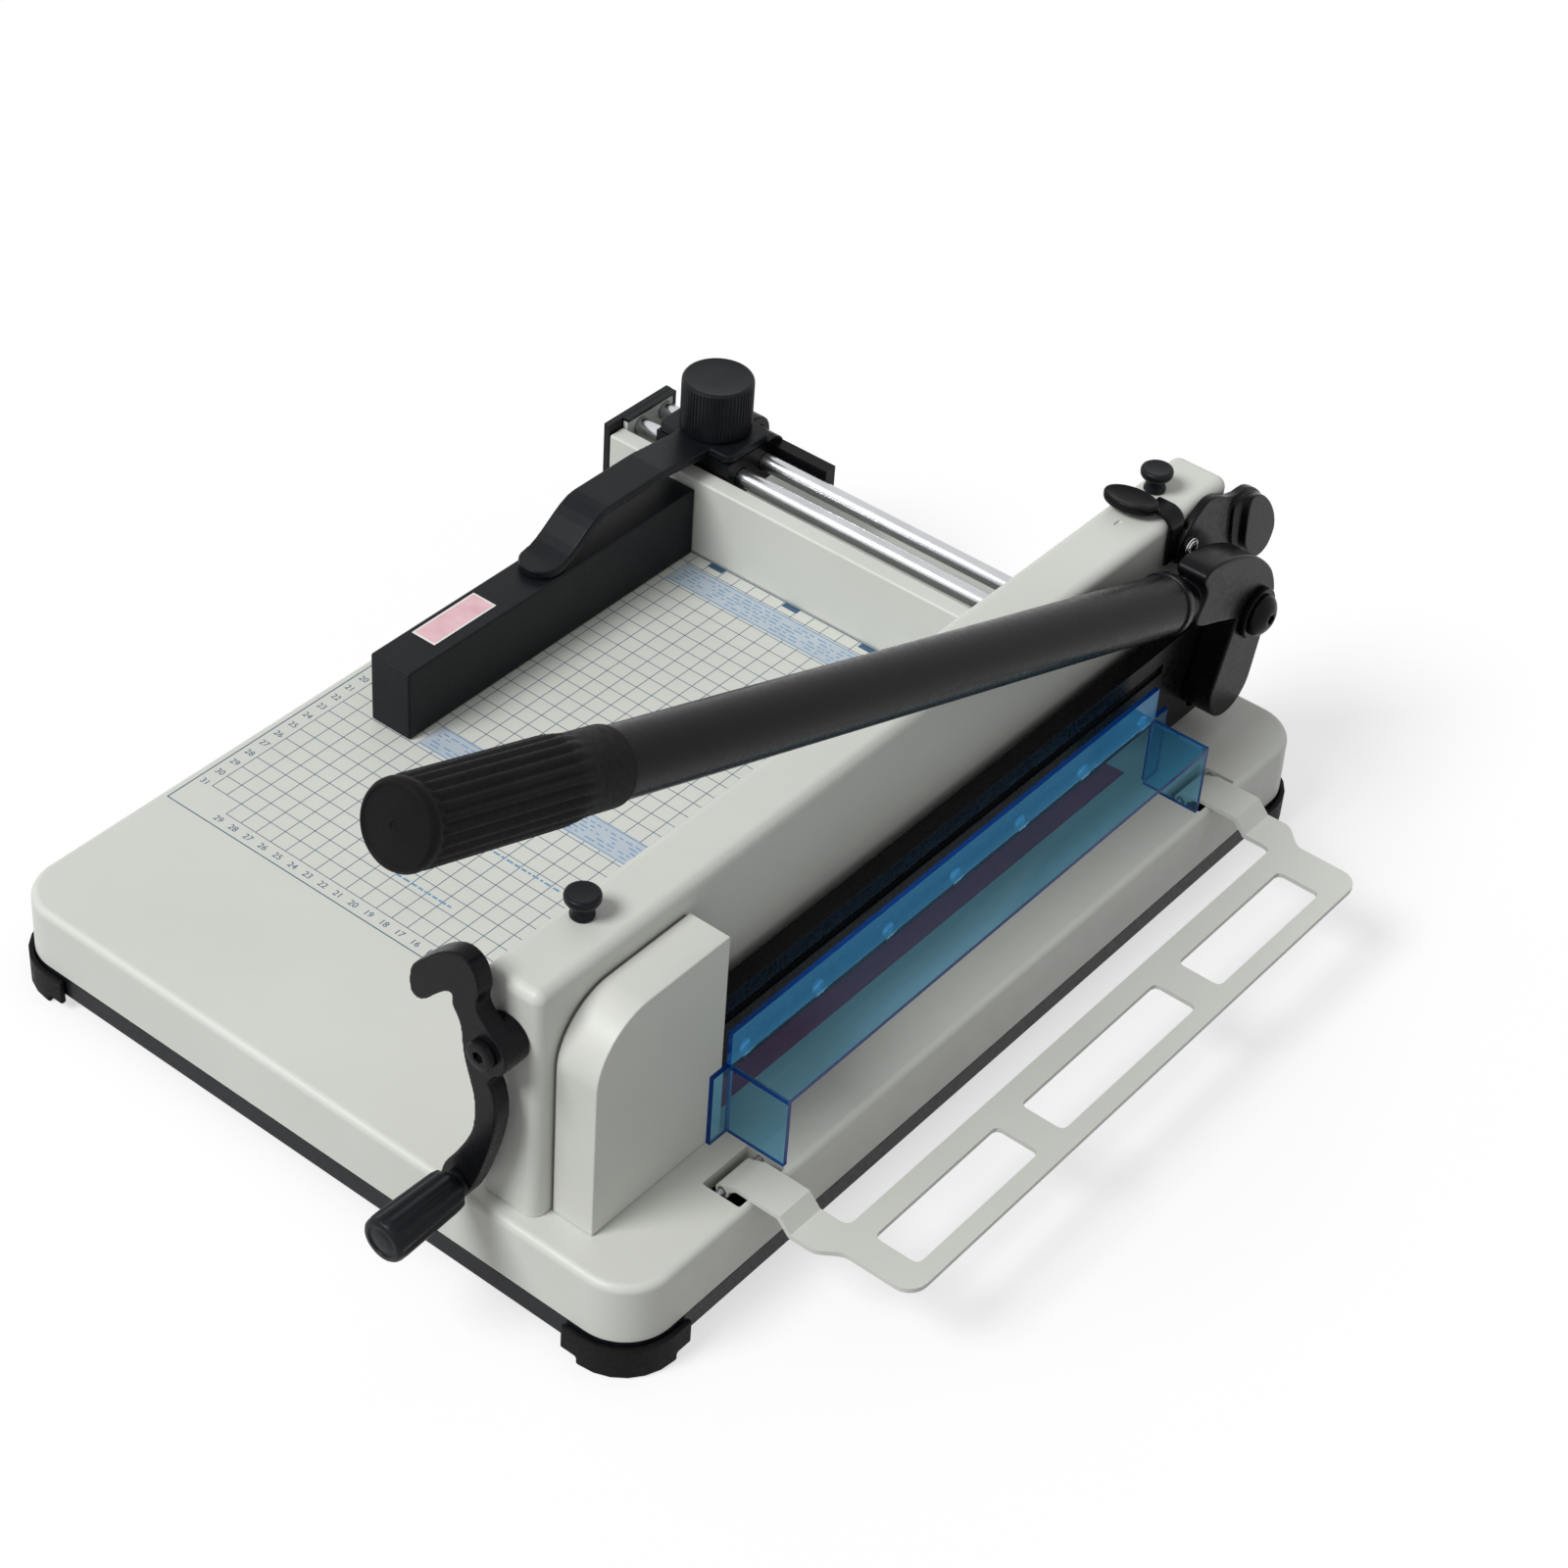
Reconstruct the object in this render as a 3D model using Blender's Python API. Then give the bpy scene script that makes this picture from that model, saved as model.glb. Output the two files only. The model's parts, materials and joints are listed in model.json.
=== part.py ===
"""Stack paper cutter: a bench guillotine for reams of paper.

X runs from the loading table to the outfeed, Y along the blade towards the lever's pivot, Z up.
All sizes below are in metres. Places are measured from the middle of the base, with Z from the
table top; the empty called table_frame then lifts the machine onto the surface it stands on.
"""
import math

import bmesh
import bpy
from mathutils import Vector

# Clearances
GAP = 0.0003
RUN_GAP = 0.0006
OVERRUN = 0.004

# Base
BASE_X = 0.388
BASE_Y = 0.528
SHELL_H = 0.0330
SHELL_WALL = 0.0030
TABLE_THICK = 0.0090
BASE_CORNER_R = 0.0260
BASE_EDGE_R = 0.0040
BASE_DRAFT = 0.0005
TRAY_H = 0.0120
TRAY_WALL = 0.0030
TRAY_FLOOR = 0.0020
FOOT_PAD_H = 0.0080
FOOT_WRAP_H = 0.0095
FOOT_WALL = 0.0030
FOOT_PAD_L = 0.0280
FOOT_WRAP_L = 0.0370

# Cutting line and what stands on it
CUT_X = 0.1315
BLADE_BACK_GAP = 0.0010
STICK_X = 0.0150
STICK_H = 0.0060
STICK_Y = 0.3360
STICK_BACK = 0.0020

# Beam housing
BEAM_X = 0.0325
BEAM_Y = 0.5090
BEAM_H = 0.1300
BEAM_SHEET = 0.0022
BEAM_EDGE_R = 0.0058
PAPER_H = 0.0480
PAPER_NEAR_Y = -0.1620
PAPER_FAR_Y = 0.1615

# Frame cheeks inside the beam's legs
CHEEK_NEAR_L = 0.0740
CHEEK_FAR_L = 0.0895
CHEEK_DROP = 0.0120

# End cover over the near slideway
COVER_X = 0.0235
COVER_Y = 0.0840
COVER_NEAR_Y = -0.2450
COVER_DROP = 0.0130
COVER_R = 0.0320
COVER_SHEET = 0.0020

# Blade, carrier and its diagonal slideway
BLADE_T = 0.0040
BLADE_H = 0.0365
BLADE_Y = 0.3740
BLADE_NEAR_Y = -0.1690
BLADE_END_R = 0.0160
BLADE_BEVEL_H = 0.0110
BLADE_EDGE_T = 0.0006
BLADE_EDGE_Z = 0.0006
BLADE_HOLE_PITCH = 0.0517
BLADE_HOLE_COUNT = 7
BLADE_HOLE_DROP = 0.0060
CARRIER_T = 0.0100
CARRIER_NEAR_Y = -0.2020
CARRIER_TOP_Z = 0.0680
CARRIER_LOW_Z = 0.0200
CARRIER_END_Y = 0.0560
CARRIER_FOOT = 0.0040
CARRIER_CORNER_R = 0.0140
CARRIER_GROOVE_T = 0.0020
CARRIER_GROOVE_H = 0.0060
CARRIER_GROOVE_Z = 0.0520
BOLT_HEAD_R = 0.0042
BOLT_HEAD_H = 0.0022
BOLT_TIP_SHARE = 0.8
BOLT_R = 0.0024
LIFT_DEG = 65.0
SLIDE_PIN_R = 0.0050
SLIDE_NEAR_Y = -0.1860
SLIDE_FAR_Y = 0.2120
SLIDE_PIN_Z = 0.0520
SLIDE_DEPTH = 0.0085

# Lever
PIVOT_Y = 0.2420
PIVOT_Z = 0.0700
LEVER_X = 0.1500
LEVER_DEG = 20.0
LEVER_RISE = 0.0100
LEVER_REACH = 0.6400
TUBE_START = 0.0810
TUBE_R = 0.0150
TUBE_WALL = 0.0022
COLLAR_R = 0.0160
COLLAR_L = 0.0060
GRIP_L = 0.1210
GRIP_R = 0.0178
GRIP_NOSE_R = 0.0165
GRIP_RIB_H = 0.0012
GRIP_RIB_COUNT = 22
GRIP_CAP_L = 0.0060
HEAD_X = 0.0169
HEAD_FRONT_X = 0.1630
NECK_R = 0.0120
NECK_INSERT = 0.0300
ARM_R = 0.0190
ARM_END_Y = -0.0110
ARM_END_Z = -0.0480
PIVOT_R = 0.0070
WASHER_R = 0.0140
WASHER_T = 0.0030
BOLT_CAP_R = 0.0112
BOLT_CAP_T = 0.0085
BOLT_SOCKET_R = 0.0028
BOLT_SOCKET_H = 0.0035
DRIVE_PIN_R = 0.0050
DRIVE_PLAY = 0.0011
ARM_TOP_R = 0.0170
ARM_LOBE_Z = -0.0390
HEAD_SIZE = 0.0600

# Clamp crank, its gears and the press plate
CRANK_Z = 0.1010
CRANK_SHAFT_R = 0.0060
HUB_R = 0.0120
HUB_L = 0.0060
CRANK_PLATE_T = 0.0090
CRANK_REACH_X = -0.0140
CRANK_REACH_Z = -0.0855
CRANK_EYE_R = 0.0085
CRANK_SCREW_R = 0.0070
CRANK_SCREW_H = 0.0040
CRANK_GRIP_L = 0.0440
CRANK_GRIP_R = 0.0115
CRANK_STEM_L = 0.0030
CRANK_STEM_R = 0.0062
CRANK_PIN_R = 0.0030
GEAR_MODULE = 0.0015
GEAR_TEETH = 12
GEAR_FACE = 0.0100
PRESSURE_DEG = 20.0
TOOTH_THIN_SHARE = 0.86
ADDENDUM_SHARE = 0.72
DEDENDUM_SHARE = 1.2
PINION_NEAR_Y = -0.1480
PINION_FAR_Y = 0.1480
CLAMP_TRAVEL = 0.0460
PLATE_X = 0.0230
PLATE_Y = 0.3080
PLATE_T = 0.0070
PLATE_LIFT = 0.0470
RACK_BODY_X = 0.0030
RACK_SPARE = 0.0060

# Mushroom knobs on the beam
KNOB_SHIFT_X = 0.0052
KNOB_NEAR_Y = -0.2043
KNOB_FAR_Y = 0.2185
KNOB_HEAD_R = 0.0082
KNOB_HEAD_H = 0.0064
KNOB_STEM_R = 0.0050
KNOB_STEM_H = 0.0064
KNOB_SCREW_R = 0.0025
KNOB_SCREW_L = 0.0090

# Safety catch
CATCH_Y = 0.2150
CATCH_DROP = 0.0200
CATCH_X = 0.0045
CATCH_PIN_R = 0.0045
CATCH_PIN_HEAD_R = 0.0055
CATCH_PIN_HEAD_T = 0.0016
CATCH_STRIP_T = 0.0022
CATCH_STRIP_Y = 0.0120
CATCH_RISE = 0.0016
PAD_X = 0.1103
PAD_Y = 0.1950
PAD_T = 0.0055
PAD_LONG_R = 0.0145
PAD_SHORT_R = 0.0085
PAD_DEG = 7.0
WING_SPAN = 0.0760
WING_T = 0.0062
WING_LIP = 0.0042
WING_SWEEP_Y = 0.0080

# Side fence and guide rods
FENCE_Y = 0.1615
FENCE_T = 0.0110
FENCE_H = 0.0470
FENCE_REAR_X = -0.1930
ROD_R = 0.0050
ROD_Z = 0.0440
ROD_NEAR_Y = 0.1840
ROD_FAR_Y = 0.2040
END_PLATE_T = 0.0030
END_CAP_T = 0.0035
END_CAP_RIM = 0.0035
END_RIM_T = 0.0018
END_PLATE_WALL = 0.0016

# Back gauge
GAUGE_X = 0.0260
GAUGE_REAR_X = -0.1580
GAUGE_NEAR_Y = -0.0570
GAUGE_H = 0.0415
GAUGE_EDGE = 0.0012
CARRIAGE_X = 0.0500
CARRIAGE_H = 0.0240
CARRIAGE_Y = 0.0460
STRAP_T = 0.0050
STRAP_TOP_Z = 0.0610
STRAP_DROP = 0.0200
STRAP_R = 0.0100
BOW_TIP_Y = 0.0540
BOW_RISE_Y = 0.0920
BOW_TOP_Z = 0.0650
BOW_TIP_T = 0.0050
GIB_REACH = 0.0610
GIB_T = 0.0080
GIB_H = 0.0140
GAUGE_KNOB_R = 0.0195
GAUGE_KNOB_H = 0.0305
GAUGE_KNOB_Y = 0.1920
GAUGE_KNOB_RIB_COUNT = 24
GAUGE_KNOB_RIB_H = 0.0004
LABEL_X = 0.0155
LABEL_Y = 0.0450
LABEL_T = 0.0004
LABEL_NEAR_Y = -0.0310

# Guard
GUARD_SHEET = 0.0025
GUARD_FRONT_X = 0.1892
GUARD_NEAR_Y = -0.1585
GUARD_FAR_Y = 0.1690
GUARD_H = 0.0410
GUARD_STRIP_Z = 0.0600
GUARD_FLANGE = 0.0115

# Front rack
RACK_SHEET = 0.0026
RACK_TOP_Z = -0.0040
RACK_REAR_X = 0.2296
RACK_FRONT_X = 0.2750
RACK_NEAR_Y = -0.1764
RACK_FAR_Y = 0.1846
RACK_CORNER_R = 0.0100
RACK_NOOK_R = 0.0040
RACK_RAIL_REAR = 0.0120
RACK_RAIL_FRONT = 0.0095
RACK_WINDOWS_Y = ((-0.1605, -0.0710), (-0.0530, 0.0550), (0.0740, 0.1625))
WINDOW_R = 0.0030
SHOULDER_X0 = 0.2250
SHOULDER_X1 = 0.2405
ARM_W = 0.0210
ARM_NEAR_Y = -0.1737
ARM_FAR_Y = 0.1848
ARM_BEND_X = 0.2080
ARM_FOOT_X = 0.2145
ARM_TOP_Z = 0.0030
HINGE_X = 0.1760
HINGE_Z = -0.0040
HINGE_R = 0.0038
HINGE_PIN_R = 0.0018
PIN_SEAT = 0.0040
SLOT_X0 = 0.1690
SLOT_X1 = 0.1900
SLOT_SIDE = 0.0053

# Derived places
CHEEK_H = BEAM_H - CHEEK_DROP
COVER_H = BEAM_H - COVER_DROP
CATCH_Z = BEAM_H - CATCH_DROP
BEAM_FRONT_X = CUT_X - BLADE_BACK_GAP
BEAM_REAR_X = BEAM_FRONT_X - BEAM_X
BEAM_MID_X = BEAM_FRONT_X - BEAM_X / 2
KNOB_X = BEAM_MID_X - KNOB_SHIFT_X
BLADE_FRONT_X = CUT_X + BLADE_T
CARRIER_BACK_X = BLADE_FRONT_X + GAP
CARRIER_FRONT_X = CARRIER_BACK_X + CARRIER_T
COVER_BACK_X = BEAM_FRONT_X + GAP
COVER_FRONT_X = COVER_BACK_X + COVER_X
GUARD_BACK_X = COVER_FRONT_X + GAP
HEAD_BACK_X = HEAD_FRONT_X - HEAD_X
LEVER_RAD = math.radians(LEVER_DEG)
LIFT_RAD = math.radians(LIFT_DEG)
ARM_LENGTH = math.hypot(ARM_END_Y, ARM_END_Z)
ARM_START_RAD = math.atan2(-ARM_END_Z, -ARM_END_Y)
CARRIER_STROKE = 2 * ARM_LENGTH * math.sin(LIFT_RAD / 2)
SLIDE_RAD = math.pi / 2 - ARM_START_RAD + LIFT_RAD / 2
GEAR_R = GEAR_MODULE * GEAR_TEETH / 2
IDLER_Z = CRANK_Z - 2 * GEAR_R
PINION_Z = IDLER_Z - 2 * GEAR_R
RACK_PITCH_X = BEAM_MID_X + GEAR_R
CHEEK_END_GAP = BEAM_SHEET + GAP
CHEEK_NEAR_Y = -BEAM_Y / 2 + CHEEK_END_GAP + CHEEK_NEAR_L
CHEEK_FAR_Y = BEAM_Y / 2 - CHEEK_END_GAP - CHEEK_FAR_L
GEAR_Y = CHEEK_NEAR_Y + RUN_GAP
BEARING_L = CHEEK_NEAR_L / 5
GAUGE_FRONT_X = GAUGE_REAR_X + GAUGE_X
GAUGE_MID_X = GAUGE_REAR_X + GAUGE_X / 2
CARRIAGE_NEAR_Y = FENCE_Y + FENCE_T + RUN_GAP


# Scene and object helpers
for old in list(bpy.data.objects):
    bpy.data.objects.remove(old, do_unlink=True)


def material(name, colour, roughness, metallic=0.0, alpha=1.0):
    """A Principled material in one plain colour."""
    made = bpy.data.materials.new(name)
    made.use_nodes = True
    shader = made.node_tree.nodes["Principled BSDF"]
    shader.inputs["Base Color"].default_value = (*colour, 1.0)
    shader.inputs["Roughness"].default_value = roughness
    shader.inputs["Metallic"].default_value = metallic
    shader.inputs["Alpha"].default_value = alpha
    made.diffuse_color = (*colour, alpha)
    return made


CREAM = ("cream", (0.76, 0.74, 0.66), 0.45, 0.0)
BLACK_CAST = ("black_cast", (0.025, 0.026, 0.03), 0.35, 0.3)
BLACK_PLASTIC = ("black_plastic", (0.02, 0.02, 0.024), 0.4, 0.0)
RUBBER = ("rubber", (0.018, 0.018, 0.018), 0.8, 0.0)
STEEL = ("steel", (0.55, 0.55, 0.56), 0.35, 1.0)
CHROME = ("chrome", (0.8, 0.81, 0.83), 0.12, 1.0)
RED = ("red_plastic", (0.5, 0.03, 0.06), 0.4, 0.0)
PINK = ("label_paper", (0.9, 0.55, 0.6), 0.6, 0.0)
BLUE = ("blue_acrylic", (0.05, 0.35, 0.7), 0.08, 0.0, 0.4)


REACH_LOW = Vector((math.inf, math.inf, math.inf))
REACH_HIGH = -REACH_LOW


def note_reach(bm):
    """Keeps the box round everything solid, in table coordinates."""
    for vert in bm.verts:
        for axis in range(3):
            REACH_LOW[axis] = min(REACH_LOW[axis], vert.co[axis])
            REACH_HIGH[axis] = max(REACH_HIGH[axis], vert.co[axis])


def empty(name, place, parent=None):
    """A named frame at a place given from the middle of the table top."""
    made = bpy.data.objects.new(name, None)
    made.empty_display_size = HUB_R
    bpy.context.collection.objects.link(made)
    made["place"] = tuple(place)
    made.parent = parent
    made.location = Vector(place) - (Vector(parent["place"]) if parent else Vector())
    return made


def add(name, bm, look, frame, origin=None, cutter=False):
    """Turns a bmesh in table coordinates into an object that hangs from a frame."""
    origin = Vector(origin if origin is not None else frame["place"])
    bmesh.ops.remove_doubles(bm, verts=bm.verts, dist=GAP / 100)
    bmesh.ops.recalc_face_normals(bm, faces=bm.faces)
    if not cutter:
        note_reach(bm)
    bmesh.ops.translate(bm, verts=bm.verts, vec=-origin)
    mesh = bpy.data.meshes.new(name)
    bm.to_mesh(mesh)
    bm.free()
    made = bpy.data.objects.new(name, mesh)
    bpy.context.collection.objects.link(made)
    made.parent = frame
    made.location = origin - Vector(frame["place"])
    if cutter:
        made.hide_render = True
        made.display_type = "WIRE"
    else:
        mesh.materials.append(material(name + "_" + look[0], *look[1:]))
    return made


def combine(target, bm, operation, name):
    """Joins or cuts a shape, kept live as an exact Boolean."""
    if operation == "UNION":
        note_reach(bm)
    tool = add(target.name + "_" + name, bm, None, target.parent, cutter=True)
    step = target.modifiers.new(name, "BOOLEAN")
    step.solver = "EXACT"
    step.operation = operation
    step.object = tool
    return tool


def cut(target, bm, name):
    return combine(target, bm, "DIFFERENCE", name)


def join(target, bm, name):
    return combine(target, bm, "UNION", name)


def bevel(target, width, segments=2, degrees=40):
    """Rounds the hard edges of a piece."""
    step = target.modifiers.new("edge", "BEVEL")
    step.width = width
    step.segments = segments
    step.limit_method = "ANGLE"
    step.angle_limit = math.radians(degrees)
    step.harden_normals = False


def smooth(target, degrees=35):
    target.data.shade_smooth()
    target.data.set_sharp_from_angle(angle=math.radians(degrees))


# Outlines
def arc(centre, radius, start_deg, end_deg, count):
    """Points on an arc, both ends included."""
    points = []
    for index in range(count + 1):
        angle = math.radians(start_deg + (end_deg - start_deg) * index / count)
        points.append((centre[0] + radius * math.cos(angle), centre[1] + radius * math.sin(angle)))
    return points


def circle(centre, radius, count=24):
    return arc(centre, radius, 0, 360 - 360 / count, count - 1)


def rounded_box(low, high, radius, count=4):
    """A rectangle with round corners, counter-clockwise."""
    (a0, b0), (a1, b1) = low, high
    return (arc((a1 - radius, b0 + radius), radius, -90, 0, count)
            + arc((a1 - radius, b1 - radius), radius, 0, 90, count)
            + arc((a0 + radius, b1 - radius), radius, 90, 180, count)
            + arc((a0 + radius, b0 + radius), radius, 180, 270, count))


def capsule(start, end, radius, count=8):
    """A straight bar with round ends."""
    along = math.degrees(math.atan2(end[1] - start[1], end[0] - start[0]))
    return (arc(end, radius, along - 90, along + 90, count)
            + arc(start, radius, along + 90, along + 270, count))


def taper_capsule(start, start_r, end, end_r, count=10):
    """A bar with round ends of two sizes."""
    gap = math.hypot(end[0] - start[0], end[1] - start[1])
    along = math.degrees(math.atan2(end[1] - start[1], end[0] - start[0]))
    lean = math.degrees(math.asin((start_r - end_r) / gap))
    half = 90 - lean
    return (arc(end, end_r, along - half, along + half, count)
            + arc(start, start_r, along + half, along + 360 - half, count))


# Solids
def on_axis(axis, pair, depth):
    a, b = pair
    if axis == "X":
        return Vector((depth, a, b))
    if axis == "Y":
        return Vector((a, depth, b))
    return Vector((a, b, depth))


def loft(rings):
    """A closed solid through rings of equal point counts, capped at both ends."""
    bm = bmesh.new()
    rows = [[bm.verts.new(point) for point in ring] for ring in rings]
    for lower, upper in zip(rows, rows[1:]):
        for index in range(len(lower)):
            after = (index + 1) % len(lower)
            bm.faces.new((lower[index], lower[after], upper[after], upper[index]))
    bm.faces.new(rows[0])
    bm.faces.new(rows[-1])
    return bm


def prism(outline, axis, low, high):
    """An outline pushed along an axis."""
    return loft([[on_axis(axis, pair, depth) for pair in outline] for depth in (low, high)])


def block(low, high):
    """A box between two corners."""
    (x0, y0, z0), (x1, y1, z1) = low, high
    return prism([(x0, y0), (x1, y0), (x1, y1), (x0, y1)], "Z", z0, z1)


def rod(axis, centre, radius, low, high, count=20):
    return prism(circle(centre, radius, count), axis, low, high)


def turned(profile, axis, centre, count=24):
    """Revolves (depth, radius) pairs about an axis; the ends are flat caps."""
    rings = []
    for depth, radius in profile:
        rings.append([on_axis(axis, pair, depth) for pair in circle(centre, radius, count)])
    return loft(rings)


def base_ring(inset, height, corner, steps=5):
    """The base's rounded outline, drawn in by an inset."""
    low = (-BASE_X / 2 + inset, -BASE_Y / 2 + inset)
    high = (BASE_X / 2 - inset, BASE_Y / 2 - inset)
    outline = rounded_box(low, high, max(corner - inset, corner / 4), steps)
    return [Vector((a, b, height)) for a, b in outline]


# Frames of the moving groups
TABLE = empty("table_frame", (0, 0, 0))
CARRIER = empty("carrier_frame", (CARRIER_BACK_X, SLIDE_FAR_Y, SLIDE_PIN_Z), TABLE)
LEVER = empty("lever_pivot", (LEVER_X, PIVOT_Y, PIVOT_Z), TABLE)
CATCH = empty("catch_pivot", (BEAM_FRONT_X, CATCH_Y, CATCH_Z), TABLE)
CRANK = empty("crank_axis", (BEAM_MID_X, -BEAM_Y / 2, CRANK_Z), TABLE)
IDLER = empty("idler_axis", (BEAM_MID_X, GEAR_Y, IDLER_Z), TABLE)
PINION = empty("pinion_axis", (BEAM_MID_X, GEAR_Y, PINION_Z), TABLE)
PRESS = empty("press_frame", (BEAM_MID_X, 0, PLATE_LIFT), TABLE)
KNOB_NEAR = empty("knob_near_axis", (KNOB_X, KNOB_NEAR_Y, BEAM_H), TABLE)
KNOB_FAR = empty("knob_far_axis", (KNOB_X, KNOB_FAR_Y, BEAM_H), TABLE)
GAUGE = empty("gauge_frame", (GAUGE_MID_X, ROD_NEAR_Y, ROD_Z), TABLE)
GAUGE_KNOB = empty("gauge_knob_axis", (GAUGE_MID_X, GAUGE_KNOB_Y, STRAP_TOP_Z), GAUGE)
RACK = empty("rack_hinge", (HINGE_X, 0, HINGE_Z), TABLE)
HAND_GRIP = empty("crank_grip_axis",
                  (BEAM_MID_X + CRANK_REACH_X, -BEAM_Y / 2, CRANK_Z + CRANK_REACH_Z), CRANK)


# Base
def slot_boxes():
    """The two windows in the table through which the rack's arms leave."""
    boxes = []
    for arm_y in (ARM_NEAR_Y, ARM_FAR_Y):
        boxes.append(((SLOT_X0, arm_y - ARM_W / 2 - SLOT_SIDE), (SLOT_X1, arm_y + ARM_W / 2 + SLOT_SIDE)))
    return boxes


def make_base_shell():
    rings = [base_ring(0, -SHELL_H, BASE_CORNER_R)]
    for index in range(4):
        angle = math.radians(90 * index / 3)
        inset = BASE_DRAFT + BASE_EDGE_R * (1 - math.cos(angle))
        rings.append(base_ring(inset, BASE_EDGE_R * (math.sin(angle) - 1), BASE_CORNER_R))
    shell = add("base_shell", loft(rings), CREAM, TABLE)
    hollow = [base_ring(SHELL_WALL, -SHELL_H - OVERRUN, BASE_CORNER_R),
              base_ring(SHELL_WALL + BASE_DRAFT, -TABLE_THICK - BASE_EDGE_R / 2, BASE_CORNER_R),
              base_ring(SHELL_WALL + BASE_DRAFT + BASE_EDGE_R / 2, -TABLE_THICK, BASE_CORNER_R)]
    cut(shell, loft(hollow), "hollow")
    stick_low = (CUT_X - STICK_BACK - GAP, -STICK_Y / 2 - GAP, -STICK_H - GAP)
    stick_high = (CUT_X - STICK_BACK + STICK_X + GAP, STICK_Y / 2 + GAP, OVERRUN)
    cut(shell, block(stick_low, stick_high), "stick_groove")
    for number, (low, high) in enumerate(slot_boxes()):
        cut(shell, block((*low, -TABLE_THICK - OVERRUN), (*high, OVERRUN)), "arm_window_%d" % number)
    smooth(shell)


def make_bottom_tray():
    tray = add("bottom_tray", loft([base_ring(0, -SHELL_H - TRAY_H, BASE_CORNER_R),
                                    base_ring(0, -SHELL_H - GAP, BASE_CORNER_R)]), BLACK_PLASTIC, TABLE)
    inner = [base_ring(TRAY_WALL, -SHELL_H - TRAY_H + TRAY_FLOOR, BASE_CORNER_R),
             base_ring(TRAY_WALL, OVERRUN - SHELL_H, BASE_CORNER_R)]
    cut(tray, loft(inner), "inside")
    smooth(tray)


def corner_outline(sx, sy, grow, length):
    """The outline of one base corner, grown outwards, as far as a length along each side."""
    mid = (sx * (BASE_X / 2 - BASE_CORNER_R), sy * (BASE_Y / 2 - BASE_CORNER_R))
    start = {(1, 1): 0, (-1, 1): 90, (-1, -1): 180, (1, -1): 270}[(sx, sy)]
    bend = arc(mid, BASE_CORNER_R + grow, start, start + 90, 6)
    reach = length - BASE_CORNER_R
    first = (bend[0][0] - (0 if start in (0, 180) else sx * reach),
             bend[0][1] - (sy * reach if start in (0, 180) else 0))
    last = (bend[-1][0] - (sx * reach if start in (0, 180) else 0),
            bend[-1][1] - (0 if start in (0, 180) else sy * reach))
    return [first] + bend + [last]


def make_feet():
    names = {(-1, -1): "foot_rear_near", (1, -1): "foot_front_near",
             (-1, 1): "foot_rear_far", (1, 1): "foot_front_far"}
    tray_under = -SHELL_H - TRAY_H
    for (sx, sy), name in names.items():
        pad_outer = corner_outline(sx, sy, FOOT_WALL + GAP, FOOT_PAD_L)
        inner = (sx * (BASE_X / 2 - FOOT_PAD_L), sy * (BASE_Y / 2 - FOOT_PAD_L))
        foot = add(name, prism(pad_outer + [inner], "Z", tray_under - FOOT_PAD_H, tray_under - GAP),
                   RUBBER, TABLE)
        outer = corner_outline(sx, sy, FOOT_WALL + GAP, FOOT_WRAP_L)
        inner_line = corner_outline(sx, sy, GAP, FOOT_WRAP_L)
        band = prism(outer + inner_line[::-1], "Z", tray_under - FOOT_PAD_H / 2, tray_under + FOOT_WRAP_H)
        join(foot, band, "corner_wrap")
        smooth(foot)


def make_cutting_stick():
    low = (CUT_X - STICK_BACK, -STICK_Y / 2, -STICK_H)
    add("cutting_stick", block(low, (low[0] + STICK_X, STICK_Y / 2, 0)), RED, TABLE)


# Beam
def slide_slot(centre_y, radius, grow=0.0):
    """The slanted slot that a carrier pin rides in, from its low end to its high end."""
    step_y = (CARRIER_STROKE + grow) * math.cos(SLIDE_RAD)
    step_z = (CARRIER_STROKE + grow) * math.sin(SLIDE_RAD)
    return capsule((centre_y, SLIDE_PIN_Z), (centre_y - step_y, SLIDE_PIN_Z + step_z), radius)


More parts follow.
